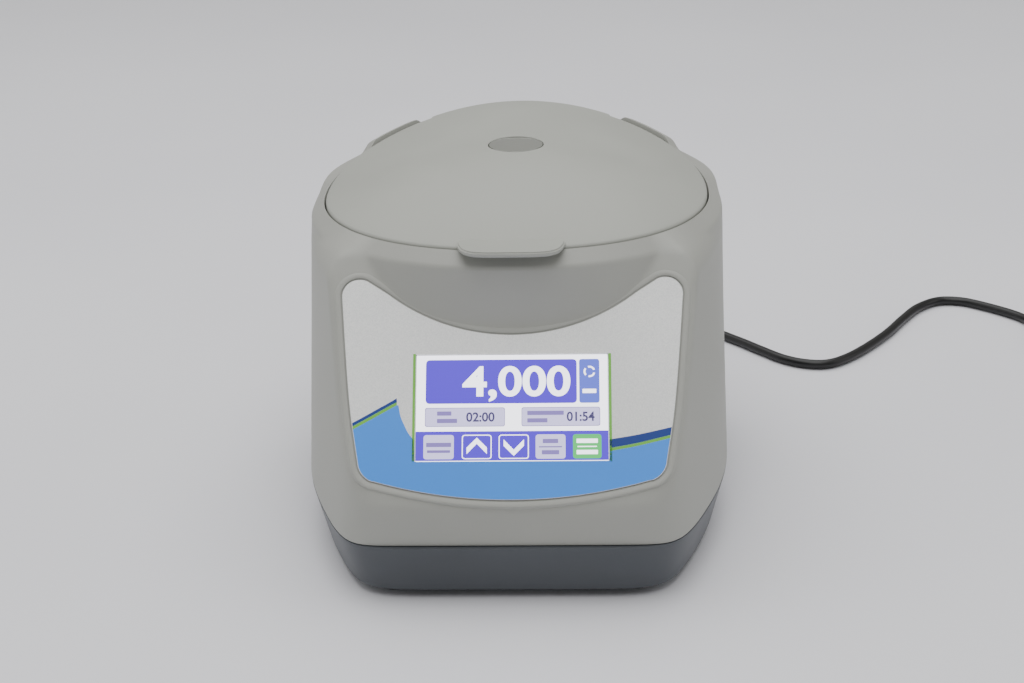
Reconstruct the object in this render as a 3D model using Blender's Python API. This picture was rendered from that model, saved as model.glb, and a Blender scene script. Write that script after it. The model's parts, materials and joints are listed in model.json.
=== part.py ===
"""Bench microcentrifuge: drum-topped housing on a tray base, domed lid, 24-place rotor, touch screen.

Frame: +X to the right, -Y towards the user, +Z up. The origin is on the bench under the middle of
the machine. All lengths are metres; most names below are sizes in millimetres times MM.
"""
import math

import bmesh
import bpy
import numpy as np
from mathutils import Matrix, Vector

MM = 0.001
GAP = 0.3 * MM                        # air kept between pieces that touch on the real machine

# ---- driving dimensions -------------------------------------------------------------------------
AXIS_Y = 24 * MM                      # the drum, chamber and rotor all turn about x = 0, y = AXIS_Y
SIDES = 60                            # facets round the housing and lid

FOOT_TOP = 5 * MM
SEAM_Z = 32 * MM                      # joint between base tray and upper housing
CREASE_Z = 52 * MM                    # lower edge of the sloped face, in the middle
BAND_Z = 158 * MM                     # where the drum's wall turns in to the lid, at the front
DECK_Z = 157 * MM                     # deck round the chamber mouth, under the lid
WALL = 3 * MM

FRONT_REACH = 169 * MM                # drum axis to each wall of the body, at the seam
SIDE_REACH = 115 * MM
CHEEK_REACH = 137 * MM
REAR_REACH = 121 * MM
REAR_CHEEK_REACH = 128 * MM
CHEEK_ANGLE = math.radians(-20.6)     # the slanted side walls either side of the front
REAR_CHEEK_ANGLE = math.radians(50)
BASE_INSET = 7 * MM                   # how far the tray's walls lean in towards the bench
FACE_LEAN = math.radians(36.5)        # sloped face, back from the vertical
DRUM_RADIUS = 112 * MM

LID_HALF_WIDTH = 103.8 * MM
LID_HALF_DEPTH = 103 * MM
LID_SQUARENESS = 2.25                 # exponent of the lid's rounded outline
LID_EDGE_Z = 165 * MM
LID_RISE = 25.4 * MM                  # crown of the lid above its edge
LID_TAIL_DROP = 4 * MM                # fall of the vault from the crown to the tail
LID_WALL = 3 * MM
LID_SKIRT_Z = 160 * MM
LID_GAP = 0.9 * MM
EAR_RISE = 2.2 * MM                   # raised ear of the rim on each side of the lid's tongue
TONGUE_HALF = 53 * MM
TONGUE_RADIUS = 110 * MM
WINDOW_RADIUS = 14.6 * MM

HINGE_Y = 118 * MM
HINGE_Z = 176 * MM
HINGE_PIN_R = 2.5 * MM
HINGE_EAR_X = 34 * MM
HINGE_ARM_X = 27 * MM
HINGE_SPRING_X = 14 * MM
LATCH_X = 13 * MM                     # pivot of the hook that holds the striker
LATCH_Z = 128 * MM
LATCH_RELEASE = math.radians(10)      # the hook rests this far out of the striker's notch
STRIKER_Y = -72.6 * MM

BOWL_R = 87 * MM
BOWL_FLOOR = 80 * MM
BOWL_TOP = 154 * MM
ROTOR_R = 83 * MM
SHAFT_R = 6 * MM

SCREEN_W = 95 * MM                    # active area of a 4.3 inch panel
SCREEN_H = 53.6 * MM
SCREEN_RISE = 51.6 * MM               # middle of the screen, up the sloped face

RECESS_GROWTH = 1.008                 # recess for the overlay, against the overlay itself

INLET_X = 36 * MM
INLET_Z = 55 * MM
SWITCH_X = 6 * MM
VENT_COUNT = 6
VENT_PITCH = 8 * MM
SCREW_SPOTS = [(-84 * MM, -92 * MM), (84 * MM, -92 * MM), (-88 * MM, 84 * MM), (88 * MM, 84 * MM)]
FOOT_SPOTS = [(-61 * MM, -119 * MM), (61 * MM, -119 * MM), (-70 * MM, 104 * MM), (70 * MM, 104 * MM)]

CORD_D = 6 * MM
CORD_ROUTE = [Vector(point) * MM for point in (
    (36, 202, 58), (37, 211, 57), (42, 222, 52), (54, 234, 42), (71, 240, 29), (90, 240, 16),
    (107, 232, 7), (121, 222, 4), (132, 211, 3.3), (143, 198, 3.3), (154, 184, 3.3), (166, 170, 3.3),
    (179, 162, 3.3), (193, 161, 3.3), (207, 171, 3.3), (223, 190, 3.3), (240, 215, 3.3), (254, 240, 3.3),
    (268, 262, 3.3), (284, 275, 3.3), (300, 274, 3.3), (314, 264, 3.3), (329, 249, 3.3), (336.5, 238, 3.3),
    (340.4, 226, 3.3))]
COIL_CENTRE = Vector((387, 200, 0)) * MM
COIL_RADII = (32, 38, 44)             # middle of each column of turns, millimetres
PLUG_START = COIL_CENTRE + Vector((49, -17, 12.3)) * MM
PLUG_TURN = math.radians(30)          # the plug's heading, from +Y towards +X
PLUG_BLADES = ((-6.35, 4.5, 0.75, 3.2), (6.35, 4.5, 0.75, 3.2), (0, -7.4, 2.4, 2.4))  # x, z, half sizes

FACE_FOOT = Vector((0, AXIS_Y - FRONT_REACH + 1.5 * MM, CREASE_Z))
FACE_OUT = Vector((0, -math.cos(FACE_LEAN), math.sin(FACE_LEAN)))
FACE_UP = Vector((0, math.sin(FACE_LEAN), math.cos(FACE_LEAN)))


# ---- materials ----------------------------------------------------------------------------------
FINISHES = {                          # colour (linear), roughness, metallic
    "housing": ((0.40, 0.40, 0.36), 0.55, 0.0),
    "lid": ((0.42, 0.43, 0.39), 0.5, 0.0),
    "tray": ((0.065, 0.075, 0.088), 0.5, 0.0),
    "overlay": ((0.30, 0.52, 0.78), 0.35, 0.0),
    "screen": ((0.20, 0.18, 0.85), 0.15, 0.0),
    "black_plastic": ((0.02, 0.02, 0.02), 0.45, 0.0),
    "rubber": ((0.015, 0.015, 0.015), 0.75, 0.0),
    "grey_rubber": ((0.20, 0.20, 0.20), 0.7, 0.0),
    "steel": ((0.56, 0.56, 0.55), 0.3, 1.0),
    "aluminium": ((0.75, 0.75, 0.76), 0.35, 1.0),
    "anodised": ((0.05, 0.05, 0.055), 0.4, 1.0),
    "motor": ((0.10, 0.10, 0.11), 0.5, 1.0),
    "board": ((0.02, 0.16, 0.06), 0.5, 0.0),
    "clear": ((0.80, 0.84, 0.86), 0.1, 0.0),
    "liner": ((0.62, 0.63, 0.61), 0.5, 0.0),
}


def material(finish):
    """Principled material of one of the finishes, made once."""
    found = bpy.data.materials.get(finish)
    if found:
        return found
    colour, roughness, metallic = FINISHES[finish]
    made = bpy.data.materials.new(finish)
    made.use_nodes = True
    shader = made.node_tree.nodes["Principled BSDF"]
    shader.inputs["Base Color"].default_value = (*colour, 1)
    shader.inputs["Roughness"].default_value = roughness
    shader.inputs["Metallic"].default_value = metallic
    made.diffuse_color = (*colour, 1)
    return made


# ---- shared shape tools -------------------------------------------------------------------------
def place(name, bm, finish, smooth=True, origin=(0, 0, 0)):
    """Turn a bmesh in world coordinates into a named object whose origin is at `origin`."""
    bmesh.ops.remove_doubles(bm, verts=bm.verts, dist=1e-6)
    bmesh.ops.recalc_face_normals(bm, faces=bm.faces)
    bmesh.ops.translate(bm, verts=bm.verts, vec=-Vector(origin))
    mesh = bpy.data.meshes.new(name)
    bm.to_mesh(mesh)
    bm.free()
    if smooth:
        mesh.shade_smooth()
        mesh.set_sharp_from_angle(angle=math.radians(35))
    mesh.materials.append(material(finish))
    thing = bpy.data.objects.new(name, mesh)
    thing.location = origin
    bpy.context.collection.objects.link(thing)
    return thing


def hide_cutter(cutter):
    """Mark an object as a construction guide only."""
    cutter.hide_render = True
    cutter.display_type = "WIRE"
    return cutter


def boolean(target, tool, operation="DIFFERENCE"):
    """Cut or join `tool` into `target` with an exact Boolean, and hide the tool."""
    step = target.modifiers.new(f"{operation.lower()}_{tool.name}", "BOOLEAN")
    step.operation = operation
    step.solver = "EXACT"
    step.object = hide_cutter(tool)
    return target


def block_mesh(low, high, bevel=0.0):
    """Box between two corners, with its edges broken by a small chamfer."""
    low, high = Vector(low), Vector(high)
    bm = bmesh.new()
    bmesh.ops.create_cube(bm, size=1)
    bmesh.ops.scale(bm, vec=high - low, verts=bm.verts)
    bmesh.ops.translate(bm, vec=(low + high) / 2, verts=bm.verts)
    if bevel:
        bmesh.ops.bevel(bm, geom=bm.edges[:], offset=bevel, segments=1, affect="EDGES")
    return bm


def block(name, low, high, finish, bevel=0.0, origin=(0, 0, 0)):
    """Rectangular piece."""
    return place(name, block_mesh(low, high, bevel), finish, smooth=False, origin=origin)


def axis_matrix(centre, axis):
    """Matrix that stands local +Z along `axis` at `centre`."""
    turn = Vector((0, 0, 1)).rotation_difference(Vector(axis)).to_matrix().to_4x4()
    return Matrix.Translation(centre) @ turn


def turned_mesh(profile, centre=(0, AXIS_Y, 0), axis=(0, 0, 1), steps=36):
    """Spin a closed outline of (radius, height) points about an axis through `centre`."""
    bm = bmesh.new()
    ring = [bm.verts.new((max(radius, 0.0), 0, height)) for radius, height in profile]
    edges = [bm.edges.new((a, b)) for a, b in zip(ring, ring[1:] + ring[:1])
             if a.co.x > 0 or b.co.x > 0]
    bmesh.ops.spin(bm, geom=ring + edges, cent=(0, 0, 0), axis=(0, 0, 1), angle=math.tau,
                   steps=steps, use_merge=True)
    bmesh.ops.remove_doubles(bm, verts=bm.verts, dist=1e-6)
    bmesh.ops.transform(bm, matrix=axis_matrix(centre, axis), verts=bm.verts)
    return bm


def turned(name, profile, finish, centre=(0, AXIS_Y, 0), axis=(0, 0, 1), steps=36, origin=(0, 0, 0)):
    """Lathe-turned piece."""
    return place(name, turned_mesh(profile, centre, axis, steps), finish, origin=origin)


def rod_profile(radius, start, end, chamfer=0.0):
    """Outline of a plain cylinder that may have chamfered ends."""
    return [(0, start), (radius - chamfer, start), (radius, start + chamfer),
            (radius, end - chamfer), (radius - chamfer, end), (0, end)]


def ring_profile(inner, outer, bottom, top):
    """Outline of a plain tube or washer."""
    return [(inner, bottom), (outer, bottom), (outer, top), (inner, top)]


def prism_mesh(outline, depth, matrix):
    """Extrude a flat outline by `depth` along its own +Z, then set it with `matrix`."""
    bm = bmesh.new()
    face = bm.faces.new([bm.verts.new((x, y, 0)) for x, y in outline])
    grown = bmesh.ops.extrude_face_region(bm, geom=[face])
    moved = [item for item in grown["geom"] if isinstance(item, bmesh.types.BMVert)]
    bmesh.ops.translate(bm, vec=(0, 0, depth), verts=moved)
    bmesh.ops.transform(bm, matrix=matrix, verts=bm.verts)
    return bm


def arc(centre, radius, start, end, count):
    """Points on a circle's arc, angles in degrees."""
    angles = np.radians(np.linspace(start, end, count))
    return [(centre[0] + radius * math.cos(a), centre[1] + radius * math.sin(a)) for a in angles]


def skin(rings, joined_ends=True):
    """Quads between successive rings of points; the last ring joins the first, or both are capped."""
    bm = bmesh.new()
    loops = [[bm.verts.new(point) for point in ring] for ring in rings]
    pairs = list(zip(loops, loops[1:] + loops[:1])) if joined_ends else list(zip(loops, loops[1:]))
    for lower, upper in pairs:
        for i in range(len(lower)):
            j = (i + 1) % len(lower)
            bm.faces.new((lower[i], lower[j], upper[j], upper[i]))
    if not joined_ends:
        bm.faces.new(list(reversed(loops[0])))
        bm.faces.new(loops[-1])
    return bm


# ---- the body's outer surface, as a radius about the drum axis -----------------------------------
THETA = np.linspace(0, math.tau, SIDES, endpoint=False)


def soft_min(values, sharpness):
    """Smallest of several radii with a rounded corner where they cross."""
    return sum(value ** -sharpness for value in values) ** (-1 / sharpness)


def soft_max(values, sharpness):
    """Largest of several radii with a fillet where they cross."""
    return sum(value ** sharpness for value in values) ** (1 / sharpness)


def wall_radius(reach, facing):
    """Radius to a flat wall that faces the direction `facing`, far away where it can't be seen."""
    cosine = np.cos(THETA - facing)
    return np.where(cosine > 0.05, reach / np.maximum(cosine, 0.05), reach / 0.05)


def rounded_radius(half_width, half_depth, squareness):
    """Radius of a superellipse: |x/a|^n + |y/b|^n = 1."""
    across = np.abs(np.cos(THETA) / half_width) ** squareness
    along = np.abs(np.sin(THETA) / half_depth) ** squareness
    return (across + along) ** (-1 / squareness)


def body_radius(z):
    """Body section at height z: five flat walls a side, leaning in above and below the seam."""
    above = max(z - SEAM_Z, 0) / (BAND_Z - SEAM_Z)
    below = max(SEAM_Z - z, 0) / (SEAM_Z - FOOT_TOP)
    roll = np.clip((z - 146 * MM) / (14 * MM), 0, 1)
    inset = BASE_INSET * below
    cheek = CHEEK_REACH - 17 * MM * above - 9 * MM * roll * roll - inset
    walls = [wall_radius(FRONT_REACH - 9 * MM * above - inset, -math.pi / 2),
             wall_radius(cheek, CHEEK_ANGLE), wall_radius(cheek, math.pi - CHEEK_ANGLE),
             wall_radius(SIDE_REACH - 3 * MM * above - inset, 0),
             wall_radius(SIDE_REACH - 3 * MM * above - inset, math.pi),
             wall_radius(REAR_REACH - 9 * MM * above - inset, math.pi / 2)]
    rear_cheek = REAR_CHEEK_REACH - 15 * MM * above - inset
    walls += [wall_radius(rear_cheek, REAR_CHEEK_ANGLE),
              wall_radius(rear_cheek, math.pi - REAR_CHEEK_ANGLE)]
    return soft_min(walls, 18)


def drum_radius(z):
    """Section of the drum under the lid, a little squarer where it meets the sloped face."""
    squareness = 2.2 + 0.5 * np.clip((BAND_Z - z) / (33 * MM), 0, 1)
    return rounded_radius(DRUM_RADIUS, DRUM_RADIUS, squareness)


def housing_radius(z):
    """Outer radius of the housing: the drum, or the body cut by the sloped face."""
    run_back = max(z - CREASE_Z, 0) * math.tan(FACE_LEAN)
    face = wall_radius(AXIS_Y - FACE_FOOT.y - run_back, -math.pi / 2)
    cut_body = soft_min([body_radius(z), face], 80)
    return soft_max([cut_body, drum_radius(z)], 70)


def ring_at(radius, z):
    """Points at `radius` (one value or one per facet) about the drum axis, at height z."""
    radius = np.broadcast_to(radius, THETA.shape)
    z = np.broadcast_to(z, THETA.shape)
    return np.stack([radius * np.cos(THETA), AXIS_Y + radius * np.sin(THETA), z], axis=1)


def lid_height(x, y):
    """Crown of the lid: a bowl-like dome in front of the drum axis, a vault behind it."""
    across = (np.abs(x) / LID_HALF_WIDTH)
    ahead = np.maximum(AXIS_Y - y, 0) / LID_HALF_DEPTH
    behind = np.maximum(y - AXIS_Y, 0) / TONGUE_RADIUS
    spread = (across ** LID_SQUARENESS + ahead ** LID_SQUARENESS) ** (2 / LID_SQUARENESS)
    return LID_EDGE_Z + LID_RISE * (1 - spread) - LID_TAIL_DROP * behind ** 2


def lid_outline():
    """Radius of the lid's rounded part."""
    return rounded_radius(LID_HALF_WIDTH, LID_HALF_DEPTH, LID_SQUARENESS)


def crown_ring(radius, drop=0.0):
    """Ring of points on the crown surface, lowered by `drop`."""
    x = radius * np.cos(THETA)
    y = AXIS_Y + radius * np.sin(THETA)
    return np.stack([x, y, lid_height(x, y) - drop], axis=1)


# ---- housing ------------------------------------------------------------------------------------
def upper_housing():
    """Moulded upper shell: body walls, drum, turned-in rim, recessed deck and chamber mouth.

    The rim has a raised ear on each side of the tongue, and drops right by the hinge, where the
    lid's edge turns back over it.
    """
    rear = np.clip(np.sin(THETA), 0, 1)
    by_hinge = np.clip((rear - 0.82) / 0.04, 0, 1)
    ear = np.clip((rear - 0.59) / 0.05, 0, 1) * (1 - by_hinge)
    lip = lid_outline() + LID_GAP + 0.5 * MM * rear
    rim_edge = crown_ring(lip, (0.4 + 2.2 * rear + 1.3 * by_hinge - EAR_RISE / MM * ear) * MM)
    band_z = rim_edge[:, 2] - (6.6 - 5 * rear) * MM
    heights = np.array([SEAM_Z + GAP, 44 * MM, CREASE_Z, 60 * MM, 78 * MM, 100 * MM, 118 * MM,
                        124 * MM, 130 * MM, 136 * MM, 143 * MM, 150 * MM])
    outer = [ring_at(housing_radius(z), z) for z in heights]
    inner = [ring_at(housing_radius(z) - WALL, z) for z in heights[[0, 2, 4, 6, 8, 10]]]
    band = housing_radius(BAND_Z)
    shoulder = [ring_at(band, band_z), ring_at(band * 0.65 + lip * 0.35, band_z + 0.62 *
                                               (rim_edge[:, 2] - band_z))]
    mouth = BOWL_R + 3 * MM
    deck = [ring_at(lip, DECK_Z), ring_at(mouth, DECK_Z), ring_at(mouth, DECK_Z - 2.5 * MM)]
    under_deck = ring_at(housing_radius(DECK_Z) - WALL, DECK_Z - 2.5 * MM)
    rings = outer + shoulder + [rim_edge] + deck + [under_deck] + inner[::-1]
    shell = place("upper_housing", skin(rings), "housing")

    tail = block("tail_notch", (-54.3 * MM, 96 * MM, DECK_Z), (54.3 * MM, 170 * MM, 200 * MM), "steel")
    boolean(shell, tail)
    recess = prism_mesh(fascia_loop(RECESS_GROWTH), 12 * MM, face_matrix(-GAP))
    boolean(shell, place("fascia_recess", recess, "steel", smooth=False))
    boolean(shell, on_face("screen_opening", 99 * MM, 58 * MM, -9 * MM, 6 * MM, "steel"))
    slot = block("striker_slot", (-6 * MM, STRIKER_Y - 4.6 * MM, 150 * MM),
                 (6 * MM, STRIKER_Y + 2 * MM, 163 * MM), "steel")
    boolean(shell, slot)
    boolean(shell, rear_cutter("inlet_opening", INLET_X, INLET_Z, 28.6 * MM, 40.6 * MM))
    boolean(shell, rear_cutter("switch_opening", SWITCH_X, INLET_Z, 13.6 * MM, 19.6 * MM))
    for i in range(VENT_COUNT):
        z = 62 * MM + i * VENT_PITCH
        vent = block(f"vent_cutter_{i}", (-66 * MM, 118 * MM, z), (-16 * MM, 160 * MM, z + 3 * MM), "steel")
        boolean(shell, vent)
    return shell


def face_matrix(out, rise=0.0):
    """Matrix that lays (across, up, out) axes on the sloped face, `out` in front of its plane."""
    turn = Matrix((Vector((1, 0, 0)), FACE_UP, FACE_OUT)).transposed().to_4x4()
    return Matrix.Translation(FACE_FOOT + FACE_OUT * out + FACE_UP * rise) @ turn


def rear_cutter(name, x, z, width, height):
    """Box that opens the rear wall round a point."""
    return block(name, (x - width / 2, 118 * MM, z - height / 2), (x + width / 2, 170 * MM, z + height / 2),
                 "steel")


def on_face(name, width, height, back, front, finish, bevel=0.0, rise=SCREEN_RISE):
    """Rectangular piece parallel to the sloped face, from `back` to `front` of its plane."""
    thing = block(name, (-width / 2, -height / 2, back), (width / 2, height / 2, front), finish, bevel)
    thing.matrix_world = face_matrix(0, rise)
    return thing


def base_pan():
    """Tray under the housing: leaning walls, floor, posts for the motor plate and the screws."""
    floor = FOOT_TOP + 3 * MM
    outer = [ring_at(body_radius(FOOT_TOP) - 1.2 * MM, FOOT_TOP),
             ring_at(body_radius(FOOT_TOP + 1.2 * MM), FOOT_TOP + 1.2 * MM),
             ring_at(body_radius(SEAM_Z), SEAM_Z)]
    inner = [ring_at(body_radius(SEAM_Z) - WALL, SEAM_Z), ring_at(body_radius(floor) - WALL, floor)]
    pan = place("base_pan", skin(outer + inner, joined_ends=False), "tray")
    for i, (x, y) in enumerate(SCREW_SPOTS):
        post = turned(f"screw_post_{i}", rod_profile(5 * MM, floor - 1 * MM, 30 * MM), "tray", (x, y, 0),
                      steps=12)
        boolean(pan, post, "UNION")
    return pan


def feet():
    """Four rubber feet with the screws that hold them, heads sunk in their undersides."""
    for i, (x, y) in enumerate(FOOT_SPOTS, start=1):
        top = FOOT_TOP - GAP
        foot = [(4.5 * MM, 0), (9 * MM, 0), (10 * MM, 1.5 * MM), (9.4 * MM, top), (2.1 * MM, top),
                (2.1 * MM, 2.6 * MM), (4.5 * MM, 2.6 * MM)]
        turned(f"foot_{i}", foot, "rubber", (x, y, 0), steps=14)
        turned(f"foot_screw_{i}", rod_profile(3.6 * MM, 1 * MM, 2.3 * MM), "steel", (x, y, 0), steps=12)


def case_screws():
    """Screws between the tray's posts and the housing's bosses, standing on the posts."""
    for i, (x, y) in enumerate(SCREW_SPOTS, start=1):
        head = [(0, 30 * MM + GAP), (3.4 * MM, 30 * MM + GAP), (3.4 * MM, 32.4 * MM), (1.6 * MM, 32.4 * MM),
                (1.6 * MM, 42 * MM), (0, 43 * MM)]
        turned(f"case_screw_{i}", head, "steel", (x, y, 0), steps=12)


# ---- front face ---------------------------------------------------------------------------------
def fascia_outline():
    """Half outline of the overlay, made of arcs, in (across, up the face) from the bottom middle."""
    bottom_r, smile_r = 250 * MM, 101 * MM
    bottom = arc((0, 5.2 * MM + bottom_r), bottom_r, -90, -74.2, 6)
    low_corner = arc((65.1 * MM, 25 * MM), 11 * MM, -74, -6, 5)[1:]
    bow = [(80.2 * MM, 50 * MM), (83.2 * MM, 80 * MM)]
    high_corner = arc((77 * MM, 109.6 * MM), 8.6 * MM, -4, 127, 8)
    smile = arc((0, 88.7 * MM + smile_r), smile_r, -52, -90, 9)
    return bottom + low_corner + bow + high_corner + smile


def fascia_loop(growth=1.0):
    """Whole outline of the overlay, mirrored, and grown about its middle by `growth`."""
    right = fascia_outline()
    left = [(-x, s) for x, s in reversed(right[1:-1])]
    middle = 62 * MM
    return [(x * growth, middle + (s - middle) * growth) for x, s in right + left]


def front_fascia():
    """Printed overlay in its recess on the sloped face, open in front of the screen."""
    sheet = prism_mesh(fascia_loop(), 0.6 * MM, face_matrix(0))
    film = place("front_fascia", sheet, "overlay", smooth=False)
    window = on_face("film_window", SCREEN_W + 0.8 * MM, SCREEN_H + 0.8 * MM, -3 * MM, 6 * MM, "steel")
    boolean(film, window)
    return film


def screen_parts():
    """Touch panel flush with the overlay, its display module and the board behind it."""
    on_face("touch_screen", SCREEN_W, SCREEN_H, -1.6 * MM, 0.5 * MM, "screen")
    on_face("display_module", 97 * MM, 56 * MM, -5.5 * MM, -1.9 * MM, "steel", 0.4 * MM)
    on_face("display_board", 92 * MM, 54 * MM, -9.5 * MM, -7.9 * MM, "board")


# ---- chamber, rotor and drive -------------------------------------------------------------------
def chamber():
    """Stainless bowl, its rim gasket and the steel guard ring round it."""
    wall = 1.2 * MM
    bowl = [(16 * MM, BOWL_FLOOR), (78 * MM, BOWL_FLOOR), (BOWL_R + wall, BOWL_FLOOR + 10 * MM),
            (BOWL_R + wall, BOWL_TOP - 1.2 * MM), (93.5 * MM, BOWL_TOP - 1.2 * MM), (93.5 * MM, BOWL_TOP),
            (BOWL_R, BOWL_TOP), (BOWL_R, BOWL_FLOOR + 10.5 * MM), (77.6 * MM, BOWL_FLOOR + wall),
            (16 * MM, BOWL_FLOOR + wall)]
    turned("chamber_bowl", bowl, "steel", steps=36)
    bottom = BOWL_TOP + GAP
    turned("bowl_gasket", [(86.9 * MM, bottom), (89.6 * MM, bottom), (89.6 * MM, 158 * MM),
                           (88.2 * MM, 159.5 * MM), (86.9 * MM, 158 * MM)], "grey_rubber", steps=36)
    turned("guard_ring", ring_profile(91 * MM, 94 * MM, 84 * MM, 147 * MM), "motor", steps=36)


def drive():
    """Brushless motor on a plate with three rubber dampers, its shaft and the shaft's seal."""
    plate_z = 31 * MM
    turned("motor_plate", ring_profile(14 * MM, 68 * MM, plate_z, plate_z + 3 * MM), "steel", steps=32)
    for i in range(3):
        angle = math.radians(90 + 120 * i)
        spot = (52 * MM * math.cos(angle), AXIS_Y + 52 * MM * math.sin(angle), 0)
        low, high = FOOT_TOP + 3 * MM + GAP, plate_z - GAP
        waist = [(0, low), (11 * MM, low), (11 * MM, low + 4 * MM), (8 * MM, (low + high) / 2),
                 (11 * MM, high - 4 * MM), (11 * MM, high), (0, high)]
        turned(f"motor_damper_{i + 1}", waist, "rubber", spot, steps=16)
    base = plate_z + 3 * MM + GAP
    can = [(0, base), (36 * MM, base), (36 * MM, 66 * MM), (34 * MM, 68 * MM), (24 * MM, 68 * MM),
           (24 * MM, 72 * MM), (0, 72 * MM)]
    turned("motor_housing", can, "motor", steps=32)
    turned("shaft_seal", [(7 * MM, 77 * MM), (15.6 * MM, 77 * MM), (15.6 * MM, 86 * MM), (12 * MM, 88 * MM),
                          (7 * MM, 88 * MM)], "rubber", steps=24)


def rotor_parts():
    """Shaft, 24-place angle rotor, its clear lid and the knob that clamps it."""
    pivot = (0, AXIS_Y, 0)
    turned("motor_shaft", rod_profile(SHAFT_R, 72 * MM + GAP, 112 * MM, 1 * MM), "steel", steps=24,
           origin=pivot)
    body = [(SHAFT_R + GAP, 92 * MM), (44 * MM, 92 * MM), (ROTOR_R, 128 * MM), (ROTOR_R, 140 * MM),
            (80 * MM, 141 * MM), (74 * MM, 141 * MM), (50 * MM, 119 * MM), (17 * MM, 119 * MM),
            (15 * MM, 132 * MM), (0, 132 * MM), (0, 113 * MM), (SHAFT_R + GAP, 113 * MM)]
    turned("rotor", body, "anodised", steps=36, origin=pivot)
    lid = [(6 * MM, 144.6 * MM), (40 * MM, 143.6 * MM), (80 * MM, 141.4 * MM), (81 * MM, 143 * MM),
           (40 * MM, 146 * MM), (6 * MM, 147 * MM)]
    turned("rotor_lid", lid, "clear", steps=36, origin=pivot)
    knob = [(0, 132.4 * MM), (5.5 * MM, 132.4 * MM), (5.5 * MM, 147.4 * MM), (14 * MM, 147.4 * MM),
            (15 * MM, 149 * MM), (14 * MM, 156 * MM), (12.5 * MM, 157.4 * MM), (0, 157.4 * MM)]
    turned("rotor_knob", knob, "aluminium", steps=24, origin=pivot)


# ---- lid ----------------------------------------------------------------------------------------
def lid_rim():
    """Radius of the lid with its tongue: the rounded outline, widened to the tongue at the tail."""
    sine, cosine = np.sin(THETA), np.abs(np.cos(THETA))
    side_of_tongue = TONGUE_HALF / np.maximum(cosine, 1e-3)
    reach = np.minimum(side_of_tongue, TONGUE_RADIUS)
    return np.where(sine > 0, np.maximum(lid_outline(), reach), lid_outline())


def lid_cover():
    """Domed outer skin of the lid with its tongue behind and finger tab in front."""
    rim = lid_rim()
    fractions = (0.14, 0.3, 0.5, 0.7, 0.86, 0.965, 1.0)
    seat = WINDOW_RADIUS + 0.5 * MM
    top = [crown_ring(np.full(SIDES, seat))]
    top += [crown_ring(rim * f, 0.5 * MM if f == 1.0 else 0.0) for f in fractions[1:]]
    tail = np.clip((np.sin(THETA) - 0.8) / 0.1, 0, 1)
    skirt_z = LID_SKIRT_Z + 15 * MM * tail
    inside = rim - LID_WALL
    under = [crown_ring(inside * f, LID_WALL) for f in (0.985, 0.7, 0.3)]
    rings = top + [ring_at(rim, skirt_z), ring_at(inside, skirt_z)] + under
    rings += [crown_ring(np.full(SIDES, seat), LID_WALL)]
    cover = place("lid_cover", skin(rings), "lid", origin=(0, HINGE_Y, HINGE_Z))
    boolean(cover, lid_tab(), "UNION")
    return cover


def lid_tab():
    """Finger tab: a thin ledge with rounded corners under the front edge of the lid."""
    right = [(0, -94.4 * MM), (14 * MM, -94.4 * MM), (20 * MM, -93 * MM), (24.4 * MM, -89 * MM),
             (27 * MM, -81.5 * MM), (27 * MM, -72.5 * MM)]
    left = [(-x, y) for x, y in reversed(right[1:])]
    bm = prism_mesh(right + left, 2.8 * MM, Matrix.Translation((0, 0, 165.2 * MM)))
    return place("tab_guide", bm, "lid", smooth=False)


def lid_inside():
    """Flat liner under the cover, window, striker and the two arms that reach the hinge pin."""
    pivot = (0, HINGE_Y, HINGE_Z)
    liner = [(WINDOW_RADIUS - 2 * MM, 160 * MM), (92 * MM, 160 * MM), (93 * MM, 161 * MM),
             (93 * MM, 162.4 * MM), (WINDOW_RADIUS - 2 * MM, 162.4 * MM)]
    turned("lid_liner", liner, "liner", steps=36, origin=pivot)
    crown = LID_EDGE_Z + LID_RISE
    lens = [(0, 163 * MM), (WINDOW_RADIUS - 3 * MM, 163 * MM), (WINDOW_RADIUS, 184 * MM),
            (WINDOW_RADIUS, crown - 0.5 * MM), (0, crown)]
    turned("lid_window", lens, "clear", steps=24, origin=pivot)
    striker()
    for side, sign in (("left", -1), ("right", 1)):
        hinge_arm(f"lid_hinge_arm_{side}", sign * HINGE_ARM_X)


def striker():
    """Steel strip under the lid's front, notched on one side for the latch hook."""
    outline = [(-9 * MM, 163.2 * MM), (-9 * MM, 162.2 * MM), (-3 * MM, 160.6 * MM), (-3 * MM, 144 * MM),
               (1.5 * MM, 142 * MM), (3 * MM, 144 * MM), (3 * MM, 147 * MM), (0.2 * MM, 147 * MM),
               (0.2 * MM, 151.6 * MM), (3 * MM, 151.6 * MM), (3 * MM, 160.6 * MM), (9 * MM, 162.2 * MM),
               (9 * MM, 163.2 * MM)]
    bm = prism_mesh(outline, 2 * MM, upright(STRIKER_Y))
    place("lid_striker", bm, "steel", smooth=False, origin=(0, HINGE_Y, HINGE_Z))


def upright(back_y):
    """Matrix that stands an (x, z) outline up in the XZ plane, its thickness running to -Y."""
    return Matrix(((1, 0, 0, 0), (0, 0, -1, back_y), (0, 1, 0, 0), (0, 0, 0, 1)))


def sideways(low_x):
    """Matrix that stands a (y, z) outline up in the YZ plane, its thickness running to +X."""
    return Matrix(((0, 0, 1, low_x), (1, 0, 0, 0), (0, 1, 0, 0), (0, 0, 0, 1)))


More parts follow.
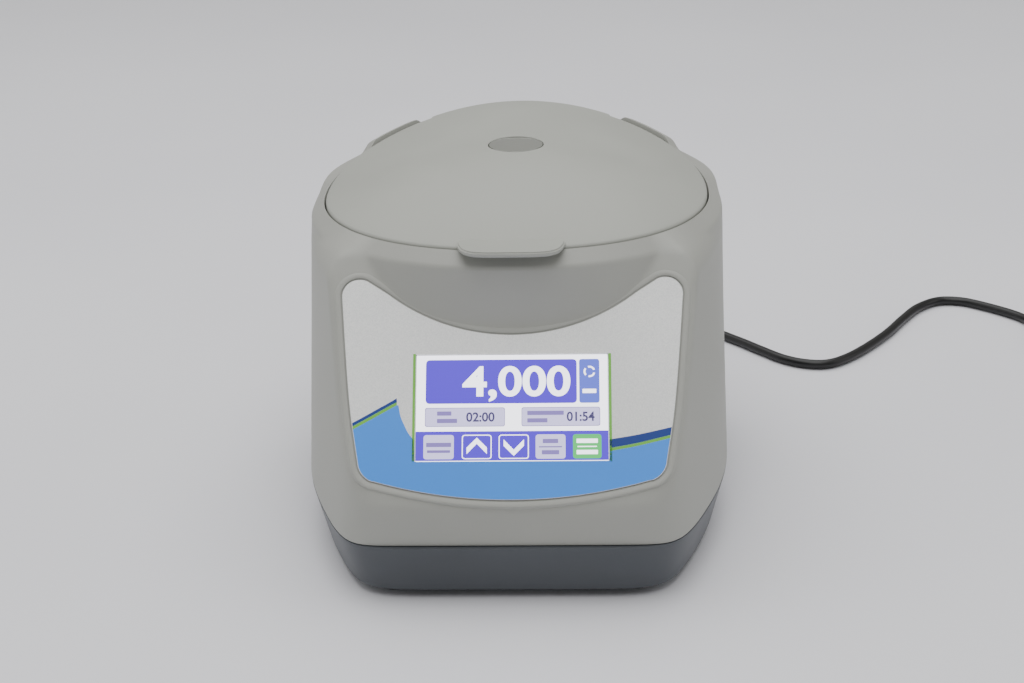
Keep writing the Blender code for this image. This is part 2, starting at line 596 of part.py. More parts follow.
def hinge_arm(name, x):
    """Steel arm from the liner up and back to a knuckle round the hinge pin."""
    knuckle = arc((HINGE_Y, HINGE_Z), 5 * MM, -50, 160, 9)
    outline = [(98 * MM, 162.7 * MM), (110 * MM, 162.7 * MM)] + knuckle + [(98 * MM, 167 * MM)]
    arm = place(name, prism_mesh(outline, 4 * MM, sideways(x - 2 * MM)), "steel", smooth=False,
                origin=(0, HINGE_Y, HINGE_Z))
    bore = turned(f"{name}_bore", rod_profile(HINGE_PIN_R + GAP, -6 * MM, 6 * MM), "steel",
                  (x, HINGE_Y, HINGE_Z), (1, 0, 0), steps=16)
    boolean(arm, bore)


def hinge():
    """Bracket on the deck's tail with two ears, the pin through them and a spring by each ear."""
    low, front, back = DECK_Z + GAP, HINGE_Y - 3.4 * MM, HINGE_Y - 0.3 * MM
    bracket = block("hinge_bracket", (-38 * MM, front, low), (38 * MM, HINGE_Y + 6 * MM, low + 2 * MM),
                    "steel")
    ear = [(front, low + 1 * MM), (back, low + 1 * MM), (back, HINGE_Z - 6 * MM)]
    ear += arc((HINGE_Y, HINGE_Z), 4.4 * MM, -50, 220, 10)
    for sign in (-1, 1):
        bm = prism_mesh(ear, 3 * MM, sideways(sign * HINGE_EAR_X - 1.5 * MM))
        boolean(bracket, place(f"ear_guide_{sign}", bm, "steel", smooth=False), "UNION")
    bore = turned("bracket_bore", rod_profile(HINGE_PIN_R + GAP, -60 * MM, 60 * MM), "steel",
                  (0, HINGE_Y, HINGE_Z), (1, 0, 0), steps=16)
    boolean(bracket, bore)
    turned("hinge_pin", rod_profile(HINGE_PIN_R, -38 * MM, 38 * MM, 0.4 * MM), "steel",
           (0, HINGE_Y, HINGE_Z), (1, 0, 0), steps=16)
    for side, sign in (("left", -1), ("right", 1)):
        turned(f"hinge_spring_{side}", ring_profile(3.1 * MM, 4.7 * MM, -9 * MM, 9 * MM), "steel",
               (sign * HINGE_SPRING_X, HINGE_Y, HINGE_Z), (1, 0, 0), steps=16)


# ---- lid lock -----------------------------------------------------------------------------------
def lid_lock():
    """Lock behind the drum's front wall: plate, pivot pin, hook, return spring and release motor."""
    plate = [(-24 * MM, 118 * MM), (24 * MM, 118 * MM), (24 * MM, 153 * MM), (-24 * MM, 153 * MM)]
    bm = prism_mesh(plate, 1.6 * MM, upright(-76.4 * MM))
    lock_plate = place("lock_plate", bm, "steel", smooth=False)
    pin_hole = turned("pin_hole", rod_profile(2 * MM + GAP, -4 * MM, 4 * MM), "steel",
                      (LATCH_X, -77 * MM, LATCH_Z), (0, 1, 0), steps=12)
    boolean(lock_plate, pin_hole)
    turned("latch_pin", rod_profile(2 * MM, -79.5 * MM, -71.6 * MM), "steel", (LATCH_X, 0, LATCH_Z),
           (0, 1, 0), steps=12)
    hook = [(0.6 * MM, 147.5 * MM), (8 * MM, 146.6 * MM), (8 * MM, 132 * MM)]
    hook += arc((LATCH_X, LATCH_Z), 5.5 * MM, 150, 390, 9)
    hook += [(18 * MM, 140 * MM), (15 * MM, 150.8 * MM), (3.6 * MM, 150.7 * MM), (0.6 * MM, 150 * MM)]
    pivot = (LATCH_X, -73.6 * MM, LATCH_Z)
    lever = place("latch_hook", prism_mesh(hook, 2.4 * MM, upright(-72.4 * MM)), "steel", smooth=False,
                  origin=pivot)
    lever.rotation_euler = (0, LATCH_RELEASE, 0)
    lever_hole = turned("lever_hole", rod_profile(2 * MM + GAP, -4 * MM, 4 * MM), "steel", pivot, (0, 1, 0),
                        steps=12)
    boolean(lever, lever_hole)
    turned("latch_spring", rod_profile(2 * MM, 19.8 * MM, 27 * MM), "steel", (0, -73.8 * MM, 136 * MM),
           (1, 0, 0), steps=12)
    turned("lock_motor", rod_profile(5 * MM, -24 * MM, -1 * MM, 0.6 * MM), "motor",
           (0, -81.6 * MM, 110 * MM), (1, 0, 0), steps=20)


# ---- electrics ----------------------------------------------------------------------------------
def electronics():
    """Control board, power supply, mains inlet with fuse drawer, and the rocker switch."""
    block("main_board", (-60 * MM, -104 * MM, 36 * MM), (40 * MM, -52 * MM, 37.6 * MM), "board")
    block("power_supply", (-60 * MM, -98 * MM, 9 * MM), (46 * MM, -54 * MM, 30 * MM), "aluminium", 1 * MM)
    inlet()
    switch()


def rear_wall_y(z):
    """Outer rear face of the housing at the middle, at height z."""
    return AXIS_Y + REAR_REACH - 9 * MM * (z - SEAM_Z) / (BAND_Z - SEAM_Z)


def inlet():
    """Mains inlet: a flanged box with a socket well, three pins left to its finish, and a fuse drawer."""
    rear = rear_wall_y(INLET_Z)
    body = block("power_inlet", (INLET_X - 13.8 * MM, rear - 26 * MM, INLET_Z - 19.8 * MM),
                 (INLET_X + 13.8 * MM, rear + 1 * MM, INLET_Z + 19.8 * MM), "black_plastic")
    well = block("inlet_well", (INLET_X - 12 * MM, rear - 16 * MM, INLET_Z - 6 * MM),
                 (INLET_X + 12 * MM, rear + 3 * MM, INLET_Z + 12 * MM), "steel")
    boolean(body, well)
    pocket = block("drawer_pocket", (INLET_X - 11 * MM, rear - 12 * MM, INLET_Z - 17.6 * MM),
                   (INLET_X + 11 * MM, rear + 3 * MM, INLET_Z - 8.6 * MM), "steel")
    boolean(body, pocket)
    block("fuse_drawer", (INLET_X - 10.6 * MM, rear - 11.6 * MM, INLET_Z - 17.2 * MM),
          (INLET_X + 10.6 * MM, rear + 1 * MM, INLET_Z - 9 * MM), "black_plastic", 0.4 * MM)


def switch():
    """Rocker switch: a bezel box through the rear wall and the rocker turning in it."""
    rear = rear_wall_y(INLET_Z)
    bezel = block("switch_bezel", (SWITCH_X - 6.4 * MM, rear - 14 * MM, INLET_Z - 9.4 * MM),
                  (SWITCH_X + 6.4 * MM, rear + 1 * MM, INLET_Z + 9.4 * MM), "black_plastic")
    pocket = block("rocker_pocket", (SWITCH_X - 5 * MM, rear - 9 * MM, INLET_Z - 8 * MM),
                   (SWITCH_X + 5 * MM, rear + 3 * MM, INLET_Z + 8 * MM), "steel")
    boolean(bezel, pocket)
    pivot = (SWITCH_X, rear - 3 * MM, INLET_Z)
    tips = [(6.6 * MM, 3.6 * MM), (0, 2 * MM), (-6.6 * MM, 5.2 * MM), (-6.4 * MM, -1 * MM),
            (-1.6 * MM, -4 * MM), (1.6 * MM, -4 * MM), (6.4 * MM, -1 * MM)]
    turn = Matrix(((0, 0, 1, SWITCH_X - 4.6 * MM), (0, 1, 0, pivot[1]), (1, 0, 0, INLET_Z), (0, 0, 0, 1)))
    place("switch_rocker", prism_mesh(tips, 9.2 * MM, turn), "black_plastic", smooth=False, origin=pivot)


# ---- mains cord ---------------------------------------------------------------------------------
def smooth_route(points, per_span):
    """Catmull-Rom curve through the route's own points."""
    padded = [points[0] * 2 - points[1], *points, points[-1] * 2 - points[-2]]
    curve = []
    for a, b, c, d in zip(padded, padded[1:], padded[2:], padded[3:]):
        for k in range(per_span):
            t = k / per_span
            curve.append(0.5 * (2 * b + (c - a) * t + (2 * a - 5 * b + 4 * c - d) * t * t
                                + (3 * b - a - 3 * c + d) * t ** 3))
    return curve + [points[-1]]


def cord():
    """Loose mains lead from the connector to its stored coil, and the plug lying beside the coil."""
    data = bpy.data.curves.new("mains_cord", "CURVE")
    data.dimensions = "3D"
    data.bevel_depth = CORD_D / 2
    data.bevel_resolution = 2
    data.use_fill_caps = True
    points = smooth_route(CORD_ROUTE, 2)
    line = data.splines.new("POLY")
    line.points.add(len(points) - 1)
    for spot, point in zip(line.points, points):
        spot.co = (*point, 1)
    data.materials.append(material("rubber"))
    bpy.context.collection.objects.link(bpy.data.objects.new("mains_cord", data))

    inner, outer = (COIL_RADII[0] - 3) * MM, (COIL_RADII[-1] + 3) * MM
    low, high, round_off = 0.3 * MM, 12.5 * MM, 2.5 * MM
    coil = [(inner + round_off, low), (outer - round_off, low), (outer, low + round_off),
            (outer, high - round_off), (outer - round_off, high), (inner + round_off, high),
            (inner, high - round_off), (inner, low + round_off)]
    turned("mains_cord_coil", coil, "rubber", COIL_CENTRE, steps=36)


def connector():
    """Moulded connector in the inlet with its tapered strain relief."""
    rear = rear_wall_y(INLET_Z)
    shape = block("cord_connector", (INLET_X - 11.5 * MM, rear - 15.4 * MM, INLET_Z - 5.4 * MM),
                  (INLET_X + 11.5 * MM, rear + 17 * MM, INLET_Z + 11.4 * MM), "rubber", 1.5 * MM)
    taper = [(0, -14 * MM), (7.5 * MM, -14 * MM), (6.6 * MM, 8 * MM), (4.4 * MM, 38 * MM), (0, 38 * MM)]
    relief = turned("relief_guide", taper, "rubber", (INLET_X, rear + 20 * MM, INLET_Z + 3 * MM),
                    (0, 1, 0), steps=16)
    boolean(shape, relief, "UNION")


def plug():
    """Moulded three-pin plug with strain relief, lying on the bench beside the coil."""
    along = Vector((math.sin(PLUG_TURN), math.cos(PLUG_TURN), 0))
    across = Vector((-along.y, along.x, 0))
    frame = Matrix((across, Vector((0, 0, 1)), along)).transposed().to_4x4()
    frame.translation = PLUG_START
    shell = [(0, 0), (4 * MM, 0), (6 * MM, 24 * MM), (9 * MM, 27 * MM), (12 * MM, 38 * MM),
             (12 * MM, 56 * MM), (0, 56 * MM)]
    body = turned("mains_plug", shell, "rubber", PLUG_START, along, steps=20)
    for i, (x, z, half_w, half_h) in enumerate(PLUG_BLADES):
        low = Vector((x - half_w, z - half_h, 52)) * MM
        high = Vector((x + half_w, z + half_h, 73)) * MM
        bm = block_mesh(low, high)
        bmesh.ops.transform(bm, matrix=frame, verts=bm.verts)
        boolean(body, place(f"plug_blade_{i}", bm, "steel", smooth=False), "UNION")


def main():
    """Clear the file's objects and build the machine."""
    for thing in list(bpy.data.objects):
        bpy.data.objects.remove(thing, do_unlink=True)
    upper_housing()
    base_pan()
    feet()
    case_screws()
    front_fascia()
    screen_parts()
    chamber()
    drive()
    rotor_parts()
    lid_cover()
    lid_inside()
    hinge()
    lid_lock()
    electronics()
    connector()
    cord()
    plug()


main()
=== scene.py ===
"""Looks of a bench microcentrifuge with a touch screen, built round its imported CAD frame.

Frame: +X right, -Y towards the user, +Z up, metres. The drum, chamber and rotor share the
vertical axis x = 0, y = AXIS_Y.
"""
import json
import logging
import math
from dataclasses import dataclass
from enum import Enum
from typing import Iterable, Optional, Sequence

import bmesh
import bpy
import numpy as np
from mathutils import Matrix, Vector

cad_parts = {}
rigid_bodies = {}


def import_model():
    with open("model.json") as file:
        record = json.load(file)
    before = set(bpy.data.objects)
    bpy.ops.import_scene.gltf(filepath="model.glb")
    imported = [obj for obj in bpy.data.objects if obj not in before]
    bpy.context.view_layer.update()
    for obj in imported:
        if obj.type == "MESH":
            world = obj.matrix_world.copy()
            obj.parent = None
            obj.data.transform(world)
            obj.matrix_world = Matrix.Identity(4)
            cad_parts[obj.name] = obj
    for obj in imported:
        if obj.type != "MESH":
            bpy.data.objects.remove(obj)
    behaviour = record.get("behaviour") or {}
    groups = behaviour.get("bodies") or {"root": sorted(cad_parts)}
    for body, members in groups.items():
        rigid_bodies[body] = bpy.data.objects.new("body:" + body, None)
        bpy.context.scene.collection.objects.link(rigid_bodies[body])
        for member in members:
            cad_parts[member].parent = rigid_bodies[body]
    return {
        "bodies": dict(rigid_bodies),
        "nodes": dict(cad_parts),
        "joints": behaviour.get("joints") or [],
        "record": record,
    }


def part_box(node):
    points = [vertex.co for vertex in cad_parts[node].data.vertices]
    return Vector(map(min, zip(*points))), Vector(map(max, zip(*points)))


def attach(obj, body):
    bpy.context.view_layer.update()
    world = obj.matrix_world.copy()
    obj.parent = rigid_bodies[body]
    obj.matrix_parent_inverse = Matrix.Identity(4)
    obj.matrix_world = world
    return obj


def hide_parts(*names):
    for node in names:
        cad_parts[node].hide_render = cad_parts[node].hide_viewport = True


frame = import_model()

MM = 0.001
AXIS_Y = 24 * MM
FACE_LEAN = math.radians(36.5)
FACE_FOOT = Vector((0, -143.5, 52)) * MM
FACE_OUT = Vector((0, -math.cos(FACE_LEAN), math.sin(FACE_LEAN)))
FACE_UP = Vector((0, math.sin(FACE_LEAN), math.cos(FACE_LEAN)))
log = logging.getLogger("microcentrifuge")
Points = Sequence[Sequence[float]]


# ---- finishes -----------------------------------------------------------------------------------
def srgb(code: str) -> tuple[float, float, float, float]:
    """Linear colour of an sRGB hex value.

    Args:
        code: six hex digits.
    Returns:
        Linear red, green, blue and alpha 1.
    """
    parts = [int(code[i:i + 2], 16) / 255 for i in (0, 2, 4)]
    linear = [p / 12.92 if p <= 0.04045 else ((p + 0.055) / 1.055) ** 2.4 for p in parts]
    return (*linear, 1.0)


def add_node(tree: bpy.types.NodeTree, kind: str, settings: Optional[dict] = None,
             links: Optional[dict] = None) -> bpy.types.Node:
    """Add one shader node.

    Args:
        tree: node tree that gets the node.
        kind: node type's name.
        settings: attribute names or input sockets (name or number) with their values.
        links: input sockets (name or number) with the output sockets that feed them.
    Returns:
        The new node.
    """
    node = tree.nodes.new(kind)
    for key, value in (settings or {}).items():
        if isinstance(key, str) and hasattr(node, key):
            setattr(node, key, value)
        else:
            node.inputs[key].default_value = value
    for key, source in (links or {}).items():
        tree.links.new(source, node.inputs[key])
    return node


class Pattern(Enum):
    """How a surface was made, which sets the grain that the eye sees."""

    MOULDED = "even fine grain from a spark-eroded mould"
    BRUSHED = "long scratches along X"
    TURNED = "rings about the rotor's axis left by turning"
    FLAKED = "pearl flakes in a printed film"
    PLAIN = "smooth, with only faint unevenness"


@dataclass(frozen=True)
class Finish:
    """One real finish: colours, gloss and the grain of its surface."""

    name: str
    colour: str
    shade: str
    roughness: float
    metallic: float = 0.0
    pattern: Pattern = Pattern.MOULDED
    grain_mm: float = 0.8
    depth_mm: float = 0.01
    blotch_mm: float = 60.0
    coat: float = 0.0
    ior: float = 1.5
    glow: float = 0.0
    clear: float = 0.0

    def material(self) -> bpy.types.Material:
        """Build the node material once, or fetch it.

        Returns:
            The named material.
        """
        found = bpy.data.materials.get(self.name)
        if found:
            return found
        made = bpy.data.materials.new(self.name)
        made.use_nodes = True
        tree = made.node_tree
        shader = tree.nodes["Principled BSDF"]
        values = {"Metallic": self.metallic, "Coat Weight": self.coat, "Coat Roughness": 0.08,
                  "Transmission Weight": self.clear, "IOR": self.ior}
        for socket, value in values.items():
            shader.inputs[socket].default_value = value
        place = add_node(tree, "ShaderNodeTexCoord").outputs["Object"]
        blotch = add_node(tree, "ShaderNodeTexNoise", {"Scale": 1 / (self.blotch_mm * MM), "Detail": 3.0},
                          {"Vector": place}).outputs["Fac"]
        grain = self.grain(tree, place)
        speck = 0.5 if self.pattern is Pattern.FLAKED else 0.25
        both = add_node(tree, "ShaderNodeMix", {"data_type": "FLOAT", 0: speck}, {2: blotch, 3: grain})
        tints = {"data_type": "RGBA", 6: srgb(self.shade), 7: srgb(self.colour)}
        tint = add_node(tree, "ShaderNodeMix", tints, {0: self.spread(tree, both.outputs[0], 0.0, 1.0)})
        if self.glow:
            shader.inputs["Base Color"].default_value = srgb("16161C")
            tree.links.new(tint.outputs[2], shader.inputs["Emission Color"])
            shader.inputs["Emission Strength"].default_value = self.glow
        else:
            tree.links.new(tint.outputs[2], shader.inputs["Base Color"])
        gloss = self.spread(tree, both.outputs[0], self.roughness * 0.86, self.roughness * 1.14)
        tree.links.new(gloss, shader.inputs["Roughness"])
        if self.depth_mm:
            bump = add_node(tree, "ShaderNodeBump", {"Strength": 0.6, "Distance": self.depth_mm * MM},
                            {"Height": grain})
            tree.links.new(bump.outputs["Normal"], shader.inputs["Normal"])
        made.diffuse_color = srgb(self.colour)
        return made

    @staticmethod
    def spread(tree: bpy.types.NodeTree, source: bpy.types.NodeSocket, low: float,
               high: float) -> bpy.types.NodeSocket:
        """Stretch a noise's middle range to run from `low` to `high`."""
        node = add_node(tree, "ShaderNodeMapRange", {"From Min": 0.32, "From Max": 0.68, "To Min": low,
                                                     "To Max": high}, {"Value": source})
        return node.outputs[0]

    def grain(self, tree: bpy.types.NodeTree, place: bpy.types.NodeSocket) -> bpy.types.NodeSocket:
        """Height field of the grain.

        Args:
            tree: the material's nodes.
            place: object coordinates.
        Returns:
            Socket with a value from 0 to 1.
        """
        pitch = 1 / (self.grain_mm * MM)
        if self.pattern is Pattern.TURNED:
            centred = add_node(tree, "ShaderNodeMapping", {"Location": (0, -AXIS_Y, 0)}, {"Vector": place})
            rings = {"wave_type": "RINGS", "rings_direction": "Z", "Scale": pitch / 6.3, "Distortion": 0.4,
                     "Detail": 2.0}
            return add_node(tree, "ShaderNodeTexWave", rings, {"Vector": centred.outputs[0]}).outputs["Fac"]
        if self.pattern is Pattern.BRUSHED:
            stretch = add_node(tree, "ShaderNodeMapping", {"Scale": (0.03, 1, 1)}, {"Vector": place})
            return add_node(tree, "ShaderNodeTexNoise", {"Scale": pitch, "Detail": 4.0},
                            {"Vector": stretch.outputs[0]}).outputs["Fac"]
        if self.pattern is Pattern.FLAKED:
            flakes = add_node(tree, "ShaderNodeTexVoronoi", {"Scale": pitch}, {"Vector": place})
            return flakes.outputs["Color"]
        return add_node(tree, "ShaderNodeTexNoise", {"Scale": pitch, "Detail": 2.0},
                        {"Vector": place}).outputs["Fac"]


# Injection-moulded ABS in warm grey: dull, with a fine even grain that breaks up reflections.
HOUSING_ABS = Finish("grey_moulded_abs", "A7A8A2", "A1A29C", 0.5)
LID_ABS = Finish("lid_moulded_abs", "A9ABA4", "A4A69F", 0.48)
# Slate ABS of the tray: darker and a little glossier, so its walls pick up the bench.
TRAY_ABS = Finish("slate_moulded_abs", "4D5156", "464A4F", 0.42)
# Polycarbonate overlay, printed on its back: pearl flakes under a satin surface.
PEARL_FILM = Finish("pearl_printed_film", "F8F9F7", "E6E8E7", 0.34, 0.04, Pattern.FLAKED, 0.5, 0.0)
SKY_INK = Finish("sky_blue_ink", "3496FF", "2E90FA", 0.34, pattern=Pattern.PLAIN, depth_mm=0.0)
NAVY_INK = Finish("navy_ink", "003A92", "003488", 0.5, pattern=Pattern.PLAIN, depth_mm=0.0)
LEAF_INK = Finish("leaf_green_ink", "74C83C", "6CC036", 0.34, pattern=Pattern.PLAIN, depth_mm=0.0)


def lit(name: str, colour: str, shade: str, glow: float) -> Finish:
    """Backlit display colour: it gives light behind dark glass, so it looks flat and even."""
    return Finish(name, colour, shade, 0.25, pattern=Pattern.PLAIN, depth_mm=0.0, glow=glow)


LIT_WHITE = lit("lit_white", "F6F6FF", "F2F2FF", 3.2)
LIT_INDIGO = lit("lit_indigo", "5410FF", "500CFA", 1.1)
LIT_PERIWINKLE = lit("lit_periwinkle", "5C70FF", "586CFA", 1.2)
LIT_LILAC = lit("lit_lilac", "D6D0FF", "D2CCFC", 1.7)
LIT_VIOLET = lit("lit_violet", "9A84E0", "9680DC", 1.0)
LIT_DARK = lit("lit_dark_violet", "4A3A90", "46368C", 0.6)
LIT_GREEN = lit("lit_green", "40EE70", "3CE86C", 1.1)
# Moulded fittings of the rear panel: black, a little finer in grain than the housing.
BLACK_ABS = Finish("black_moulded_abs", "1C1D1F", "161718", 0.42, grain_mm=0.5)
# Soft PVC of the lead and its mouldings: black with a waxy sheen.
CORD_PVC = Finish("black_pvc_sheath", "0D0D0E", "09090A", 0.38, grain_mm=1.5, depth_mm=0.02)
# Moulded rubbers: feet and dampers dead black and dull, the gasket a greasy grey.
SOFT_RUBBER = Finish("black_rubber", "191919", "121212", 0.7, grain_mm=0.6, depth_mm=0.03)
GREY_RUBBER = Finish("grey_silicone_rubber", "8B8C8C", "7F8080", 0.6, grain_mm=0.6, depth_mm=0.02)
# Zinc-plated steel: bright and slightly cloudy, on fasteners, springs and brackets.
ZINC_STEEL = Finish("zinc_plated_steel", "C9CBCB", "AEB2B4", 0.32, 1.0, Pattern.PLAIN, 3.0, 0.004, 12)
# Stainless steel: long brushed scratches, or rings left by spinning the bowl.
BRUSHED_STEEL = Finish("brushed_stainless", "C4C5C4", "A6A8A8", 0.3, 1.0, Pattern.BRUSHED, 0.3, 0.006, 20)
SPUN_STEEL = Finish("spun_stainless", "C8C9C8", "A9ABAB", 0.26, 1.0, Pattern.TURNED, 0.8, 0.006, 30)
# Aluminium off the lathe, bare on the knob and black anodised on the rotor: rings of fine light.
TURNED_ALLOY = Finish("turned_aluminium", "D2D3D4", "BBBDBF", 0.28, 1.0, Pattern.TURNED, 0.6, 0.006, 25)
BLACK_ANODISE = Finish("black_anodised_alloy", "3A3B3E", "303134", 0.36, 1.0, Pattern.TURNED, 0.6, 0.005, 25)
# Stove enamel, nickelled brass and solder mask of the hidden works and the plug's pins.
MOTOR_PAINT = Finish("black_stove_enamel", "26272A", "1D1E20", 0.45, 0.0, Pattern.PLAIN, 1.2, 0.02, 15)
BRASS_PIN = Finish("nickelled_brass", "CFC7B4", "B9AF99", 0.28, 1.0, Pattern.PLAIN, 1.0, 0.003, 6)
BOARD_MASK = Finish("green_solder_mask", "1C5A38", "174C2F", 0.35, 0.0, Pattern.PLAIN, 2.0, 0.01, 6)
# Polycarbonate: smoke-clear over the rotor. The lid's window is clear too, but here it is an opaque mid-grey
# under a gloss coat: painted shade of the dark chamber behind it and painted reflection of the room.
CLEAR_CAP = Finish("smoked_clear_polycarbonate", "D9DEE0", "D3D8DB", 0.05, pattern=Pattern.PLAIN,
                   depth_mm=0.0, clear=0.92, ior=1.58)
WINDOW_PC = Finish("frosted_polycarbonate", "868881", "7F817A", 0.16, pattern=Pattern.PLAIN, depth_mm=0.0,
                   coat=0.6, ior=1.58)
# Lid's lining in paler ABS, the woven hook tape round the coil, and the bench's laminate.
LINER_ABS = Finish("liner_moulded_abs", "B9BAB6", "B1B2AE", 0.5)
HOOK_TAPE = Finish("black_hook_tape", "202124", "17181A", 0.85, pattern=Pattern.BRUSHED, grain_mm=0.7,
                   depth_mm=0.06)
BENCH_TOP = Finish("pale_laminate", "EEEEF3", "EBEBF1", 0.55, grain_mm=4, depth_mm=0.0, blotch_mm=400)


# ---- mesh tools ---------------------------------------------------------------------------------
def object_from(name: str, mesh: bpy.types.Mesh, smooth: float = 35.0) -> bpy.types.Object:
    """Link a finished mesh as an object at the origin.

    Args:
        name: the piece's name.
        mesh: mesh in world coordinates.
        smooth: edges sharper than this angle in degrees stay sharp; 0 leaves flat facets.
    Returns:
        The linked object.
    """
    mesh.name = name
    if smooth:
        mesh.shade_smooth()
        mesh.set_sharp_from_angle(angle=math.radians(smooth))
    thing = bpy.data.objects.new(name, mesh)
    bpy.context.scene.collection.objects.link(thing)
    return thing


def grid_piece(name: str, points: np.ndarray, wrap_rows: bool = True, caps: bool = False,
               smooth: float = 35.0) -> bpy.types.Object:
    """Surface through a grid of points: quads join each point to the next in its row and column.

    Args:
        name: the piece's name.
        points: rows by columns by 3; the columns always close into a loop.
        wrap_rows: join the last row to the first, as on a turned closed profile.
        caps: fill the first and last rows, where the rows don't wrap.
        smooth: sharp-edge angle in degrees.
    Returns:
        The object.
    """
    rows, columns, _ = points.shape
    index = np.arange(rows * columns).reshape(rows, columns)
    upper = np.roll(index, -1, axis=0) if wrap_rows else index[1:]
    lower = index if wrap_rows else index[:-1]
    quads = np.stack([lower, np.roll(lower, -1, 1), np.roll(upper, -1, 1), upper], axis=-1).reshape(-1, 4)
    faces = quads.tolist()
    if caps and not wrap_rows:
        faces += [index[0][::-1].tolist(), index[-1].tolist()]
    mesh = bpy.data.meshes.new(name)
    mesh.from_pydata(points.reshape(-1, 3).tolist(), [], faces)
    return object_from(name, tidy_mesh(mesh), smooth)


def tidy_mesh(mesh: bpy.types.Mesh) -> bpy.types.Mesh:
    """Merge doubled points and turn every face outwards.

    Args:
        mesh: mesh that is changed in place.
    Returns:
        The same mesh.
    """
    bm = bmesh.new()
    bm.from_mesh(mesh)
    bmesh.ops.remove_doubles(bm, verts=bm.verts, dist=1e-7)
    bmesh.ops.dissolve_degenerate(bm, edges=bm.edges, dist=1e-8)
    bmesh.ops.recalc_face_normals(bm, faces=bm.faces)
    bm.to_mesh(mesh)
    bm.free()
    return mesh


def rounded_corners(points: Points, radius: float, steps: int = 4) -> np.ndarray:
    """Closed outline with each corner eased by a short parabola from edge to edge.

    Args:
        points: corners in order.
        radius: how far from the corner the easing starts, at most 45% of an edge.
        steps: points along each eased corner.
    Returns:
        Eased outline, corners times steps by 2.
    """
    corner = np.asarray(points, float)
    before, after = np.roll(corner, 1, 0) - corner, np.roll(corner, -1, 0) - corner
    size_b = np.linalg.norm(before, axis=1, keepdims=True)
    size_a = np.linalg.norm(after, axis=1, keepdims=True)
    start = corner + before / size_b * np.minimum(radius, 0.45 * size_b)
    end = corner + after / size_a * np.minimum(radius, 0.45 * size_a)
    t = np.linspace(0, 1, steps)[None, :, None]
    eased = (1 - t) ** 2 * start[:, None] + 2 * t * (1 - t) * corner[:, None] + t * t * end[:, None]
    return eased.reshape(-1, 2)


def turned(name: str, profile: Points, centre: Sequence[float] = (0, AXIS_Y, 0),
           axis: Sequence[float] = (0, 0, 1), sides: int = 96, ease: float = 0.4,
           smooth: float = 35.0) -> bpy.types.Object:
    """Lathe-turned piece: a closed (radius, height) outline in mm swept round an axis.

    Args:
        name: the piece's name.
        profile: outline corners in millimetres.
        centre: point on the axis, metres.
        axis: direction of the axis.
        sides: facets round the piece.
        ease: corner easing in millimetres.
        smooth: sharp-edge angle in degrees.
    Returns:
        The object.
    """
    outline = rounded_corners(profile, ease) if ease else np.asarray(profile, float)
    outline = np.maximum(outline, [0, -np.inf]) * MM
    angle = np.linspace(0, math.tau, sides, endpoint=False)
    radius, height = outline[:, :1], outline[:, 1:]
    local = np.stack([radius * np.cos(angle), radius * np.sin(angle), height + 0 * angle], axis=-1)
    turn = np.array(Vector((0, 0, 1)).rotation_difference(Vector(axis)).to_matrix())
    return grid_piece(name, local @ turn.T + np.array(centre), smooth=smooth)


def prism(name: str, outline: Points, matrix: Matrix, depth: float, bevel: float = 0.0,
          smooth: float = 30.0) -> bpy.types.Object:
    """Flat outline pushed out to a thickness, its rims optionally rounded.

    Args:
        name: the piece's name.
        outline: closed outline in metres, in the matrix's XY plane.
        matrix: where the outline's plane lies.
        depth: thickness along the matrix's Z.
        bevel: radius of the rims.
        smooth: sharp-edge angle in degrees.
    Returns:
        The object.
    """
    bm = bmesh.new()
    face = bm.faces.new([bm.verts.new((p[0], p[1], 0)) for p in outline])
    grown = bmesh.ops.extrude_face_region(bm, geom=[face])["geom"]
    moved = [item for item in grown if isinstance(item, bmesh.types.BMVert)]
    bmesh.ops.translate(bm, vec=(0, 0, depth), verts=moved)
    if bevel:
        rims = [e for e in bm.edges if abs(e.verts[0].co.z - e.verts[1].co.z) < 1e-9]
        bmesh.ops.bevel(bm, geom=rims, offset=bevel, segments=3, affect="EDGES")
    bmesh.ops.recalc_face_normals(bm, faces=bm.faces)
    bmesh.ops.transform(bm, matrix=matrix, verts=bm.verts)
    mesh = bpy.data.meshes.new(name)
    bm.to_mesh(mesh)
    bm.free()
    return object_from(name, mesh, smooth)


def rounded_box(name: str, low: Sequence[float], high: Sequence[float], radius: float = 0.0,
                matrix: Matrix = Matrix.Identity(4)) -> bpy.types.Object:
    """Box between two corners in metres with rounded edges.

    Args:
        name: the piece's name.
        low: lowest corner.
        high: highest corner.
        radius: edge radius.
        matrix: frame that the corners are given in.
    Returns:
        The object.
    """
    low, high = Vector(low), Vector(high)
    bm = bmesh.new()
    bmesh.ops.create_cube(bm, size=1)
    bmesh.ops.scale(bm, vec=high - low, verts=bm.verts)
    bmesh.ops.translate(bm, vec=(low + high) / 2, verts=bm.verts)
    if radius:
        bmesh.ops.bevel(bm, geom=bm.edges[:], offset=radius, segments=4, affect="EDGES")
    bmesh.ops.transform(bm, matrix=matrix, verts=bm.verts)
    mesh = bpy.data.meshes.new(name)
    bm.to_mesh(mesh)
    bm.free()
    return object_from(name, mesh, 40.0)


def carve(target: bpy.types.Object, tools: Iterable[bpy.types.Object], how: str = "DIFFERENCE") -> None:
    """Apply exact Booleans to a piece and remove the tools.

    Args:
        target: piece that is cut or added to.
        tools: closed cutters or additions.
        how: DIFFERENCE or INTERSECT.
    """
    tools = list(tools)
    for tool in tools:
        step = target.modifiers.new(tool.name, "BOOLEAN")
        step.operation, step.solver, step.object = how, "EXACT", tool
    bpy.context.view_layer.update()
    done = bpy.data.meshes.new_from_object(target.evaluated_get(bpy.context.evaluated_depsgraph_get()))
    target.modifiers.clear()
    target.data = done
    done.name = target.name
    done.shade_smooth()
    done.set_sharp_from_angle(angle=math.radians(32))
    for tool in tools:
        bpy.data.objects.remove(tool)


